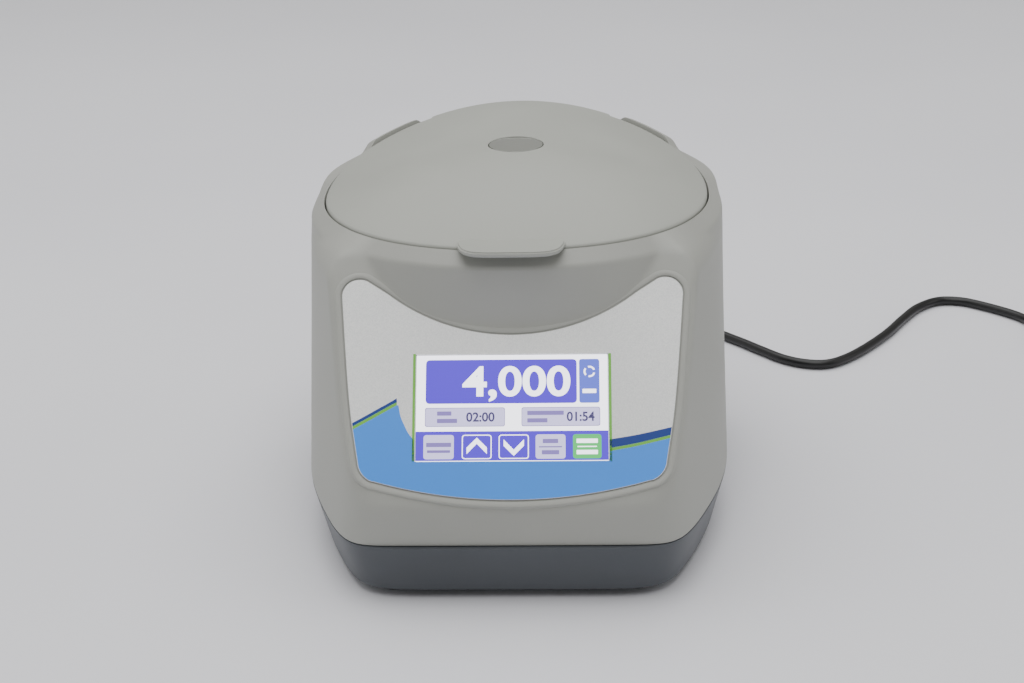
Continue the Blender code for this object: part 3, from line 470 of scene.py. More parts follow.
def joined(pieces: Sequence[bpy.types.Object]) -> bpy.types.Object:
    """Put several pieces' meshes into the first one.

    Args:
        pieces: objects to merge; all but the first are removed.
    Returns:
        The first object.
    """
    bm = bmesh.new()
    for piece in pieces:
        bm.from_mesh(piece.data)
    bm.to_mesh(pieces[0].data)
    bm.free()
    for piece in pieces[1:]:
        bpy.data.objects.remove(piece)
    return pieces[0]


def smooth_curve(points: Points, per_span: int) -> np.ndarray:
    """Catmull-Rom curve: each span is the cubic whose end slopes are half its neighbours' chord.

    Args:
        points: route points.
        per_span: samples for each span.
    Returns:
        Samples by 3, the last route point included.
    """
    p = np.asarray(points, float)
    p = np.vstack([2 * p[0] - p[1], p, 2 * p[-1] - p[-2]])
    a, b, c, d = (p[i:len(p) - 3 + i, None] for i in range(4))
    t = (np.arange(per_span) / per_span)[None, :, None]
    curve = 0.5 * (2 * b + (c - a) * t + (2 * a - 5 * b + 4 * c - d) * t ** 2
                   + (3 * b - a - 3 * c + d) * t ** 3)
    return np.vstack([curve.reshape(-1, 3), p[-2]])


def wire(name: str, points: np.ndarray, radius: float, sides: int = 3) -> bpy.types.Object:
    """Round wire along points, as a curve of one open spline with filled ends.

    Args:
        name: the piece's name.
        points: centreline.
        radius: wire radius.
        sides: bevel resolution.
    Returns:
        The curve object.
    """
    data = bpy.data.curves.new(name, "CURVE")
    data.dimensions, data.bevel_depth, data.bevel_resolution = "3D", radius, sides
    data.use_fill_caps = True
    spline = data.splines.new("POLY")
    spline.points.add(len(points) - 1)
    spline.points.foreach_set("co", np.hstack([points, np.ones((len(points), 1))]).ravel())
    thing = bpy.data.objects.new(name, data)
    bpy.context.scene.collection.objects.link(thing)
    return thing


def as_mesh(curve: bpy.types.Object) -> bpy.types.Object:
    """Replace a curve or text object by the mesh that it shows.

    Args:
        curve: object that is removed.
    Returns:
        Mesh object of the same name.
    """
    bpy.context.view_layer.update()
    mesh = bpy.data.meshes.new_from_object(curve.evaluated_get(bpy.context.evaluated_depsgraph_get()))
    name = curve.name
    bpy.data.objects.remove(curve)
    return object_from(name, mesh)


def dress(piece: bpy.types.Object, body: str, finish: Finish,
          replaces: Sequence[str] = ()) -> bpy.types.Object:
    """Give a piece its finish, its body and the CAD nodes that it stands for.

    Args:
        piece: finished object.
        body: CAD body that it rides on.
        finish: surface finish.
        replaces: CAD nodes that it hides.
    Returns:
        The piece.
    """
    piece.data.materials.clear()
    piece.data.materials.append(finish.material())
    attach(piece, body)
    if replaces:
        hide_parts(*replaces)
    log.info("%s on %s in %s", piece.name, body, finish.name)
    return piece


def refinish(node: str, finish: Finish) -> None:
    """Give a carried-over CAD node a better material.

    Args:
        node: name of the CAD node, whose shape is kept.
        finish: surface finish.
    """
    data = frame["nodes"][node].data
    data.materials.clear()
    data.materials.append(finish.material())
    log.info("%s keeps its CAD shape in %s", node, finish.name)


# ---- the outer form -----------------------------------------------------------------------------
@dataclass
class Form:
    """Outer surface as a radius about the drum's axis, with the lid's crown over it (mm)."""

    seam_z: float = 32.0
    foot_z: float = 5.0
    band_z: float = 158.0
    crease_z: float = 52.0
    deck_z: float = 157.0
    front: float = 169.0
    side: float = 115.0
    cheek: float = 137.0
    rear: float = 121.0
    rear_cheek: float = 128.0
    base_inset: float = 7.0
    drum: float = 112.0
    lid_half_width: float = 103.8
    lid_half_depth: float = 103.0
    squareness: float = 2.25
    lid_edge_z: float = 165.0
    lid_rise: float = 25.4
    tail_drop: float = 4.0
    lid_gap: float = 0.9
    tongue_half: float = 53.0
    tongue_radius: float = 110.0
    cheek_angle: float = math.radians(-20.6)
    rear_angle: float = math.radians(50)
    crease: float = 260.0

    @staticmethod
    def soft_min(values: Sequence[np.ndarray], sharpness: float) -> np.ndarray:
        """Smallest value, rounded where two cross: the -p norm of the values."""
        return sum(v ** -sharpness for v in values) ** (-1 / sharpness)

    @staticmethod
    def wall(theta: np.ndarray, reach: np.ndarray, facing: float) -> np.ndarray:
        """Radius to a flat wall: its reach over the cosine of the angle off its facing."""
        cosine = np.cos(theta - facing)
        return reach / np.maximum(cosine, 0.05)

    def round_outline(self, theta: np.ndarray, width: float, depth: float, power: np.ndarray) -> np.ndarray:
        """Superellipse |x/a|^n + |y/b|^n = 1 as a radius."""
        across, along = np.abs(np.cos(theta) / width), np.abs(np.sin(theta) / depth)
        return (across ** power + along ** power) ** (-1 / power)

    def body(self, theta: np.ndarray, z: np.ndarray) -> np.ndarray:
        """Body section: eight leaning walls with rounded corners between them.

        Args:
            theta: directions from the drum's axis.
            z: height in mm.
        Returns:
            Radius in mm: the soft least of the walls' reach over cosine.
        """
        above = np.maximum(z - self.seam_z, 0) / (self.band_z - self.seam_z)
        inset = self.base_inset * np.maximum(self.seam_z - z, 0) / (self.seam_z - self.foot_z)
        roll = np.clip((z - 146) / 14, 0, 1)
        cheek = self.cheek - 17 * above - 9 * roll ** 2 - inset
        rear_cheek = self.rear_cheek - 15 * above - inset
        side = self.side - 3 * above - inset
        walls = [self.wall(theta, self.front - 9 * above - inset, -math.pi / 2),
                 self.wall(theta, cheek, self.cheek_angle),
                 self.wall(theta, cheek, math.pi - self.cheek_angle),
                 self.wall(theta, side, 0), self.wall(theta, side, math.pi),
                 self.wall(theta, self.rear - 9 * above - inset, math.pi / 2),
                 self.wall(theta, rear_cheek, self.rear_angle),
                 self.wall(theta, rear_cheek, math.pi - self.rear_angle)]
        return self.soft_min(walls, 18)

    def shell(self, theta: np.ndarray, z: np.ndarray) -> np.ndarray:
        """Housing: the larger of the drum and the body cut by the sloped face, softly joined.

        Args:
            theta: directions from the drum's axis.
            z: height in mm.
        Returns:
            Radius in mm: the p-norm of the two, scaled by the larger.
        """
        run_back = np.maximum(z - self.crease_z, 0) * math.tan(FACE_LEAN)
        face = self.wall(theta, self.front - 1.5 - run_back, -math.pi / 2)
        cut = self.soft_min([self.body(theta, z), face], 90)
        power = 2.2 + 0.5 * np.clip((self.band_z - z) / 33, 0, 1)
        drum = self.round_outline(theta, self.drum, self.drum, power)
        larger = np.maximum(cut, drum)
        return larger * ((cut / larger) ** self.crease + (drum / larger) ** self.crease) ** (1 / self.crease)

    def lid_outline(self, theta: np.ndarray) -> np.ndarray:
        """Rounded part of the lid's outline."""
        return self.round_outline(theta, self.lid_half_width, self.lid_half_depth, self.squareness)

    def lid_rim(self, theta: np.ndarray) -> np.ndarray:
        """Lid outline with the tongue behind: straight sides, and an end about the drum's axis.

        Args:
            theta: directions from the drum's axis.
        Returns:
            Radius in mm: the larger of outline and tongue on the rear half.
        """
        sides = self.tongue_half / np.maximum(np.abs(np.cos(theta)), 1e-3)
        tongue = self.soft_min([sides, np.full_like(theta, self.tongue_radius)], 120)
        outline = self.lid_outline(theta)
        return np.where(np.sin(theta) > 0, np.maximum(outline, tongue), outline)

    def crown(self, x: np.ndarray, y: np.ndarray) -> np.ndarray:
        """Height of the lid: a dome ahead of the drum's axis, and a vault across X behind it.

        Args:
            x: distance across, mm.
            y: distance from the drum's axis, rear positive, mm.
        Returns:
            Edge height, plus the rise times 1 less the superellipse distance squared, less a
            parabola behind.
        """
        across = np.abs(x) / self.lid_half_width
        ahead = np.maximum(-y, 0) / self.lid_half_depth
        spread = (across ** self.squareness + ahead ** self.squareness) ** (2 / self.squareness)
        behind = np.maximum(y, 0) / self.tongue_radius
        return self.lid_edge_z + self.lid_rise * (1 - spread) - self.tail_drop * behind ** 2

    @staticmethod
    def place(theta: np.ndarray, radius: np.ndarray, z: np.ndarray) -> np.ndarray:
        """World points in metres from polar ones in mm: x = r cos, y = r sin about the drum's axis.

        Args:
            theta: directions.
            radius: distances from the drum's axis.
            z: heights.
        Returns:
            Points, with a last axis of 3.
        """
        theta, radius, z = np.broadcast_arrays(theta, radius, z)
        x, y = radius * np.cos(theta), radius * np.sin(theta)
        return np.stack([x, y, z], axis=-1) * MM + [0, AXIS_Y, 0]

    def crown_ring(self, theta: np.ndarray, radius: np.ndarray, drop: float = 0.0) -> np.ndarray:
        """Ring of points on the crown.

        Args:
            theta: directions from the drum's axis.
            radius: distances from it, mm.
            drop: how far the ring lies below the crown, mm.
        Returns:
            World points in metres.
        """
        radius = np.broadcast_to(radius, theta.shape)
        z = self.crown(radius * np.cos(theta), radius * np.sin(theta)) - drop
        return self.place(theta, radius, z)


def face_matrix(out_mm: float = 0.0) -> Matrix:
    """Frame on the sloped face: X across, Y up the slope, Z out of it."""
    turn = Matrix((Vector((1, 0, 0)), FACE_UP, FACE_OUT)).transposed().to_4x4()
    return Matrix.Translation(FACE_FOOT + FACE_OUT * out_mm * MM) @ turn


def arc(centre: Sequence[float], radius: float, start: float, end: float, count: int) -> np.ndarray:
    """Points on a circle's arc; angles in degrees."""
    a = np.radians(np.linspace(start, end, count))
    return np.stack([centre[0] + radius * np.cos(a), centre[1] + radius * np.sin(a)], axis=1)


def overlay_outline() -> np.ndarray:
    """Overlay's outline in mm (across, up the face): arcs for the foot, corners and smile.

    Returns:
        Closed outline, anticlockwise from the bottom middle.
    """
    foot = arc((0, 255.2), 250, -90, -74.2, 24)
    low_corner = arc((65.1, 25), 11, -74, -6, 16)[1:]
    bow = smooth_curve([(76.05, 23.9, 0), (80.2, 50, 0), (83.2, 80, 0), (85.57, 109, 0)], 8)[1:-1, :2]
    high_corner = arc((77, 109.6), 8.6, -4, 127, 24)
    smile = arc((0, 189.7), 101, -52, -90, 40)
    right = np.vstack([foot, low_corner, bow, high_corner, smile])
    left = right[1:-1][::-1] * [-1, 1]
    return np.vstack([right, left])


# ---- stage, camera and lead ---------------------------------------------------------------------
@dataclass
class Studio:
    """Camera at eye height in front, a pale bench and soft light from above."""

    eye: tuple = (33.8, -966.0, 464.9)
    turn_deg: float = 2.216
    pitch_deg: float = 21.5
    roll_deg: float = -1.302
    lens_mm: float = 66.13

    def build(self) -> None:
        """Make the camera, the bench and the lights."""
        data = bpy.data.cameras.new("camera")
        data.lens, data.sensor_width, data.clip_start = self.lens_mm, 36.0, 0.01
        camera = bpy.data.objects.new("camera", data)
        turn = (Matrix.Rotation(math.radians(self.turn_deg), 4, "Z")
                @ Matrix.Rotation(math.radians(90 - self.pitch_deg), 4, "X")
                @ Matrix.Rotation(math.radians(self.roll_deg), 4, "Z"))
        camera.matrix_world = Matrix.Translation(Vector(self.eye) * MM) @ turn
        bpy.context.scene.collection.objects.link(camera)
        bpy.context.scene.camera = camera
        bench = rounded_box("bench", (-6, -6, -0.04), (6, 6, 0))
        bench.data.materials.append(BENCH_TOP.material())
        self.lamp("ceiling_softbox", (-0.1, 0.45, 1.9), (0, 0, 0), 2.4, 37)
        self.lamp("front_softbox", (0.1, -1.1, 2.0), (0, 0, 0.1), 1.4, 13)
        self.lamp("left_fill", (-2.0, 0.0, 1.0), (0, 0, 0.1), 1.4, 6)
        self.lamp("right_fill", (2.0, 0.0, 1.0), (0, 0, 0.1), 1.4, 5)
        world = bpy.data.worlds.new("pale_room")
        world.use_nodes = True
        world.node_tree.nodes["Background"].inputs["Color"].default_value = srgb("E4E3E0")
        world.node_tree.nodes["Background"].inputs["Strength"].default_value = 0.44
        bpy.context.scene.world = world

    @staticmethod
    def lamp(name: str, spot: Sequence[float], aim: Sequence[float], size: float, power: float) -> None:
        """Square area light that faces a point.

        Args:
            name: the light's name.
            spot: its place in metres.
            aim: point that it faces.
            size: side of the square in metres.
            power: watts.
        """
        data = bpy.data.lights.new(name, "AREA")
        data.size, data.energy = size, power
        thing = bpy.data.objects.new(name, data)
        thing.location = spot
        thing.rotation_euler = (Vector(aim) - Vector(spot)).to_track_quat("-Z", "Y").to_euler()
        bpy.context.scene.collection.objects.link(thing)


@dataclass
class Lead:
    """Mains lead: loose run, stored coil, plug and the connector in the inlet (mm)."""

    diameter: float = 6.0
    length: float = 1800.0
    route: tuple = (
        (36, 202, 58), (37, 211, 57), (42, 222, 52), (54, 234, 42), (71, 240, 29), (90, 240, 16),
        (107, 232, 7), (121, 222, 4), (132, 211, 3.3), (143, 198, 3.3), (154, 184, 3.3),
        (166, 170, 3.3), (179, 162, 3.3), (193, 161, 3.3), (207, 171, 3.3), (223, 190, 3.3),
        (240, 215, 3.3), (254, 240, 3.3), (268, 262, 3.3), (284, 275, 3.3), (300, 274, 3.3),
        (314, 264, 3.3), (329, 249, 3.3), (336.5, 238, 3.3), (340.4, 226, 3.3))
    coil_centre: tuple = (387.0, 200.0)
    coil_radii: tuple = (44.0, 38.0, 32.0)
    low_z: float = 3.3
    high_z: float = 9.3
    shift_from: float = math.radians(120)
    shift_over: float = math.radians(60)
    leave_at: float = math.radians(-50)
    plug_turn: float = math.radians(30)
    plug_start: tuple = (436.0, 183.0, 12.3)

    def coil(self) -> np.ndarray:
        """Turns of the stored coil: circles that step in on the bench, then out again on top.

        Returns:
            Centreline points in mm.
        """
        angle = np.arange(math.pi, 5.5 * math.tau + self.leave_at + math.tau / 2, math.radians(6))
        lap = (angle - self.shift_from) / math.tau
        whole = np.floor(lap)
        ease = np.clip((lap - whole) * math.tau / self.shift_over, 0, 1)
        step = np.maximum(whole, 0) + ease * ease * (3 - 2 * ease) - 1
        knots = np.arange(-1, 7)
        radii = np.array([self.coil_radii[0], *self.coil_radii, *self.coil_radii[::-1], self.coil_radii[0]])
        heights = np.array([self.low_z] * 4 + [self.high_z] * 4)
        r = np.interp(step, knots, radii)
        z = np.interp(step, knots, heights)
        x, y = self.coil_centre
        return np.stack([x + r * np.cos(angle), y + r * np.sin(angle), z], axis=1)

    def path(self) -> np.ndarray:
        """Join the loose run, the coil and the bend to the plug.

        Returns:
            Whole centreline in metres.
        """
        coil = self.coil()
        last = coil[-1]
        tail = np.array(self.plug_start) + np.array(
            [math.sin(self.plug_turn), math.cos(self.plug_turn), 0]) * 2
        start = np.array(self.route[0]) - [0, 4, 0]
        loose = smooth_curve([start, *self.route, (342.6, 210, 3.3), coil[0]], 8)
        bend = smooth_curve([coil[-3], last, (last + tail) / 2 + [1.5, -1, 0.4], tail], 6)[6:]
        return np.vstack([loose[:-1], coil[:-1], bend]) * MM

    def build(self) -> None:
        """Make the lead, its mouldings and the tie round the coil."""
        path = self.path()
        plug = self.plug()
        connector = self.connector()
        lead = dress(wire("mains_lead", path, self.diameter / 2 * MM, 5), "base", CORD_PVC,
                     ["mains_cord", "mains_cord_coil"])
        tie = self.tie()
        run = float(np.linalg.norm(np.diff(path, axis=0), axis=1).sum())
        log.info("lead's centreline is %.3f m", run)

    @staticmethod
    def moulding(name: str, stations: Points, matrix: Matrix, ribs: tuple = (0, 0, 0)) -> bpy.types.Object:
        """Lofted moulding: superellipse sections whose size follows smooth curves along its axis.

        Args:
            name: the piece's name.
            stations: rows of (along, half width, half height, squareness, rise) in mm.
            matrix: frame with the axis along Z, width along X and height along Y.
            ribs: (start, end, pitch) in mm of the strain relief's rings.
        Returns:
            The object.
        """
        table = np.asarray(stations, float)
        along = np.unique(np.concatenate([table[:, 0], np.arange(table[0, 0], table[-1, 0], 0.5)]))
        a, b, power, rise = (np.interp(along, table[:, 0], table[:, k])[:, None] for k in range(1, 5))
        start, end, pitch = ribs
        if pitch:
            inside = ((along > start) & (along < end))[:, None]
            wave = 1 - 0.12 * inside * (np.sin(math.tau * (along[:, None] - start) / pitch) > 0.2)
            a, b = a * wave, b * wave
        angle = np.linspace(0, math.tau, 64, endpoint=False)[None]
        c, s = np.cos(angle), np.sin(angle)
        r = (np.abs(c) ** power + np.abs(s) ** power) ** (-1 / power)
        grid = np.stack([a * r * c, b * r * s + rise, along[:, None] + 0 * angle], axis=-1) * MM
        flat = grid.reshape(-1, 3) @ np.array(matrix.to_3x3()).T + np.array(matrix.translation)
        return grid_piece(name, flat.reshape(grid.shape), wrap_rows=False, caps=True, smooth=40)

    def connector(self) -> bpy.types.Object:
        """Moulded connector with a ribbed taper where the lead leaves it."""
        low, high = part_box("cord_connector")
        x, z = (low.x + high.x) / 2, (low.z + high.z) / 2
        tail = (high.y - low.y) / MM
        stations = [(0, 10.6, 7.4, 5, 0), (1, 11.4, 8.2, 6, 0), (31, 11.4, 8.2, 6, 0),
                    (33.5, 10, 7.6, 3.5, 0), (35, 7.2, 7.0, 2, 0), (38, 6.6, 6.6, 2, 0),
                    (tail - 3, 4.6, 4.6, 2, 0), (tail, 3.3, 3.3, 2, 0)]
        frame = Matrix(((-1, 0, 0, x), (0, 0, 1, low.y), (0, 1, 0, z), (0, 0, 0, 1)))
        piece = self.moulding("lead_connector", stations, frame, (40, tail - 4, 4.2))
        return dress(piece, "base", CORD_PVC, ["cord_connector"])

    def plug(self) -> bpy.types.Object:
        """Three-pin plug: gripped body, flat face, blades and earth pin."""
        along = Vector((math.sin(self.plug_turn), math.cos(self.plug_turn), 0))
        across = Vector((-along.y, along.x, 0))
        frame = Matrix((across, Vector((0, 0, 1)), along)).transposed().to_4x4()
        frame.translation = Vector(self.plug_start) * MM
        stations = [(0, 3.3, 3.3, 2, 0), (2, 4.0, 4.0, 2, 0), (23, 5.9, 5.9, 2, 0), (25, 8.4, 8.4, 2.2, 0),
                    (30, 9.6, 9.2, 2.4, 0), (38, 11.6, 11.4, 2.6, 0), (44, 10.6, 11.6, 2.6, 0),
                    (50, 11.8, 11.8, 2.6, 0), (54.5, 11.8, 11.8, 2.6, 0), (56, 10.8, 10.8, 2.6, 0)]
        body = self.moulding("plug_body", stations, frame, (3, 22, 4.0))
        z, w, h = 4.5, 0.75, 3.2
        blades = [rounded_box(f"plug_blade_{i}", Vector((x - w, z - h, 52)) * MM,
                              Vector((x + w, z + h, 72.8)) * MM, 0.5 * MM, frame)
                  for i, x in enumerate((-6.35, 6.35))]
        pin = turned("plug_blade_2", [(0, 50), (2.4, 50), (2.4, 70), (1.6, 72.6), (0, 72.6)],
                     Vector(frame.translation) + Vector((0, 0, -7.4)) * MM, along, 32)
        metal = joined([*blades, pin])
        metal.name = "plug_blades"
        dress(metal, "base", BRASS_PIN)
        return dress(body, "base", CORD_PVC, ["mains_plug"])

    def tie(self) -> bpy.types.Object:
        """Hook-tape tie: a flat band round the coil's section, on the side away from the plug."""
        inner, outer = self.coil_radii[-1] - 3.3, self.coil_radii[0] + 3.4
        outline = rounded_corners([(inner, 0.15), (outer, 0.15), (outer, 12.6), (inner, 12.6)], 3, 8)
        inside = rounded_corners([(inner + 0.8, 0.35), (outer - 0.8, 0.35), (outer - 0.8, 12),
                                  (inner + 0.8, 12)], 2.6, 8)
        sweep = np.radians(np.linspace(232, 246, 9))[:, None]
        x, y = self.coil_centre
        rings = [np.stack([x + o[:, 0] * np.cos(sweep), y + o[:, 0] * np.sin(sweep), o[:, 1] + 0 * sweep],
                          axis=-1) for o in (outline, inside)]
        grid = np.concatenate([rings[0], rings[1][::-1]]) * MM
        return dress(grid_piece("coil_tie", grid), "base", HOOK_TAPE)


# ---- housing and tray ---------------------------------------------------------------------------
@dataclass
class Housing:
    """Upper moulding: leaning walls, drum, turned-in rim and the deck under the lid (mm)."""

    form: Form
    columns: int = 480
    wall: float = 3.0
    mouth: float = 90.0
    lip_radius: float = 0.4
    ear_rise: float = 4.2
    turn_in_z: float = 150.0
    inlet: tuple = (36.0, 55.0, 28.6, 40.6)
    switch: tuple = (6.0, 55.0, 13.6, 19.6)
    vent_count: int = 6
    vent_pitch: float = 8.0
    vent_low: tuple = (-66.0, 118.0, 62.0)
    vent_high: tuple = (-16.0, 160.0, 65.0)

    def rim(self, theta: np.ndarray) -> tuple[np.ndarray, np.ndarray, np.ndarray]:
        """Rim round the lid, with an ear on each side of the tongue and a dip by the hinge.

        Args:
            theta: directions from the drum's axis.
        Returns:
            Lip radius, lip height, and the height where the wall starts to turn in.
        """
        sine = np.sin(theta)
        rear = np.clip(sine, 0, 1)
        by_hinge = np.clip((sine - 0.82) / 0.04, 0, 1)
        ear = np.clip((sine - 0.59) / 0.05, 0, 1) * (1 - by_hinge)
        lip = self.form.lid_outline(theta) + self.form.lid_gap + 0.5 * rear
        edge_z = (self.form.crown(lip * np.cos(theta), lip * sine) - 0.4 - 2.2 * rear - 1.3 * by_hinge
                  + self.ear_rise * ear * ear * (3 - 2 * ear))
        return lip, edge_z, edge_z - 6.6 + 5 * rear

    def surface(self) -> bpy.types.Object:
        """Closed skin: up the outside, over the rim, in along the deck and back down inside.

        Returns:
            The shell, each ring at the form's radius, with the rim rounded by a parabola.
        """
        form = self.form
        theta = np.linspace(0, math.tau, self.columns, endpoint=False)
        lip, edge_z, band_z = self.rim(theta)
        foot = form.seam_z + 0.3
        rings = [(form.shell(theta, foot) - 0.6, foot), (form.shell(theta, foot) - 0.17, foot + 0.17),
                 (form.shell(theta, foot + 0.6), foot + 0.6)]
        rings += [(form.shell(theta, z), z) for z in np.linspace(34, 110, 30)]
        rings += [(form.shell(theta, z), z) for z in np.linspace(111, self.turn_in_z, 40)]
        rings += [(form.shell(theta, self.turn_in_z + (form.band_z - self.turn_in_z) * t),
                   self.turn_in_z + (band_z - self.turn_in_z) * t) for t in (0.2, 0.4, 0.6)]
        band, below = form.shell(theta, form.band_z), form.shell(theta, form.band_z - 1.8)
        low_z = band_z - 0.22 * (band_z - self.turn_in_z)
        inner = lip + self.lip_radius
        over_r, over_z = band + 0.2 * (inner - band), band_z + 0.2 * (edge_z - band_z)
        for t in np.linspace(0, 1, 9):
            keep, turn, go = (1 - t) ** 2, 2 * t * (1 - t), t * t
            rings.append((keep * below + turn * band + go * over_r,
                          keep * low_z + turn * band_z + go * over_z))
        rings += [(over_r + (inner - over_r) * t, over_z + (edge_z - over_z) * t) for t in (0.33, 0.66, 1.0)]
        rings += [(lip + 0.3 * self.lip_radius, edge_z - 0.3 * self.lip_radius),
                  (lip, edge_z - self.lip_radius), (lip, form.deck_z + 0.8), (lip - 0.25, form.deck_z + 0.25),
                  (lip - 0.8, form.deck_z), (self.mouth + 0.5, form.deck_z), (self.mouth, form.deck_z - 0.5),
                  (self.mouth, form.deck_z - 2.5),
                  (form.shell(theta, form.deck_z) - self.wall, form.deck_z - 2.5)]
        rings += [(form.shell(theta, z) - self.wall, z) for z in np.linspace(146, foot, 16)]
        grid = np.stack([form.place(theta, radius, z) for radius, z in rings])
        return grid_piece("upper_shell", grid)

    @staticmethod
    def rear_box(name: str, x: float, z: float, width: float, height: float) -> bpy.types.Object:
        """Cutter through the rear wall, from its middle's x and z and its size in mm."""
        return rounded_box(name, Vector((x - width / 2, 118, z - height / 2)) * MM,
                           Vector((x + width / 2, 170, z + height / 2)) * MM, 1 * MM)

    def build(self) -> None:
        """Make the shell and open it for the tongue, the face, the lock and the rear panel."""
        shell = self.surface()
        outline = overlay_outline()
        grown = (outline - [0, 62]) * 1.008 + [0, 62]
        tools = [prism("recess", grown * MM, face_matrix(-0.3), 12 * MM),
                 rounded_box("notch", (-0.0543, 0.096, 0.157), (0.0543, 0.17, 0.2), 0.001),
                 rounded_box("striker_slot", (-0.006, -0.0772, 0.15), (0.006, -0.0706, 0.163), 0.0008),
                 self.rear_box("inlet_cut", *self.inlet), self.rear_box("switch_cut", *self.switch)]
        for i in range(self.vent_count):
            rise = Vector((0, 0, self.vent_pitch * i))
            tools.append(rounded_box(f"vent_{i}", (Vector(self.vent_low) + rise) * MM,
                                     (Vector(self.vent_high) + rise) * MM, 1.4 * MM))
        opening = rounded_box("screen_cut", Vector((-49.5, 22.6, -9)) * MM, Vector((49.5, 80.6, 6)) * MM,
                              1 * MM, face_matrix())
        carve(shell, [joined(tools), opening])
        dress(shell, "base", HOUSING_ABS, ["upper_housing"])
        self.frame_strip(outline)

    @staticmethod
    def frame_strip(outline: np.ndarray) -> None:
        """Raised strip round the overlay: a section swept along its outline.

        Each section point is (offset outwards, height, lean), and its height is the height plus
        the lean times the outward normal's part up the face, so the strip faces up all round.

        Args:
            outline: the overlay's outline in mm.
        """
        ahead, behind = np.roll(outline, -1, 0), np.roll(outline, 1, 0)
        run = ahead - behind
        normal = np.stack([run[:, 1], -run[:, 0]], axis=1) / np.linalg.norm(run, axis=1, keepdims=True)
        section = ((0.75, -1.2, 0), (0.75, 0.2, 0.2), (1.1, 0.45, 0.3), (3.2, 0.55, -0.3), (3.7, 0.35, -0.3),
                   (4.1, -0.1, -0.1), (4.6, -1.2, 0))
        turn = np.array(face_matrix().to_3x3())
        rings = [np.hstack([outline + normal * off, up + lean * normal[:, 1:]]) @ turn.T
                 for off, up, lean in section]
        grid = np.stack(rings) * MM + np.array(FACE_FOOT)
        dress(grid_piece("overlay_surround", grid, smooth=60), "base", HOUSING_ABS)


@dataclass
class Tray:
    """Lower moulding with its floor, screw posts and four rubber feet (mm)."""

    form: Form
    columns: int = 360
    wall: float = 3.0
    floor: float = 8.0
    posts: tuple = ((-84, -92), (84, -92), (-88, 84), (88, 84))
    feet: tuple = ((-61, -119), (61, -119), (-70, 104), (70, 104))

    def build(self) -> None:
        """Make the tray, its posts and feet."""
        form = self.form
        theta = np.linspace(0, math.tau, self.columns, endpoint=False)
        rings = [(form.body(theta, 5) - 1.2, 5.0), (form.body(theta, 5) - 0.5, 5.15),
                 (form.body(theta, 5.6) - 0.1, 5.6)]
        rings += [(form.body(theta, z), z) for z in np.linspace(6.2, form.seam_z - 0.5, 16)]
        rings += [(form.body(theta, form.seam_z) - 0.15, form.seam_z - 0.12),
                  (form.body(theta, form.seam_z) - 0.5, form.seam_z),
                  (form.body(theta, form.seam_z) - self.wall, form.seam_z),
                  (form.body(theta, self.floor) - self.wall, self.floor)]
        grid = np.stack([form.place(theta, radius, z) for radius, z in rings])
        pan = grid_piece("tray_shell", grid, wrap_rows=False, caps=True)
        posts = [turned(f"post_{i}", [(0, 7), (5, 7), (5, 30), (0, 30)], (x * MM, y * MM, 0), sides=32)
                 for i, (x, y) in enumerate(self.posts)]
        dress(joined([pan, *posts]), "base", TRAY_ABS, ["base_pan"])
        for i, (x, y) in enumerate(self.feet, start=1):
            profile = [(4.5, 0), (9, 0), (10, 1.5), (9.4, 4.7), (2.1, 4.7), (2.1, 2.6), (4.5, 2.6)]
            foot = turned(f"rubber_foot_{i}", profile, (x * MM, y * MM, 0), sides=64)
            dress(foot, "base", SOFT_RUBBER, [f"foot_{i}"])
            refinish(f"foot_screw_{i}", ZINC_STEEL)
            refinish(f"case_screw_{i}", ZINC_STEEL)


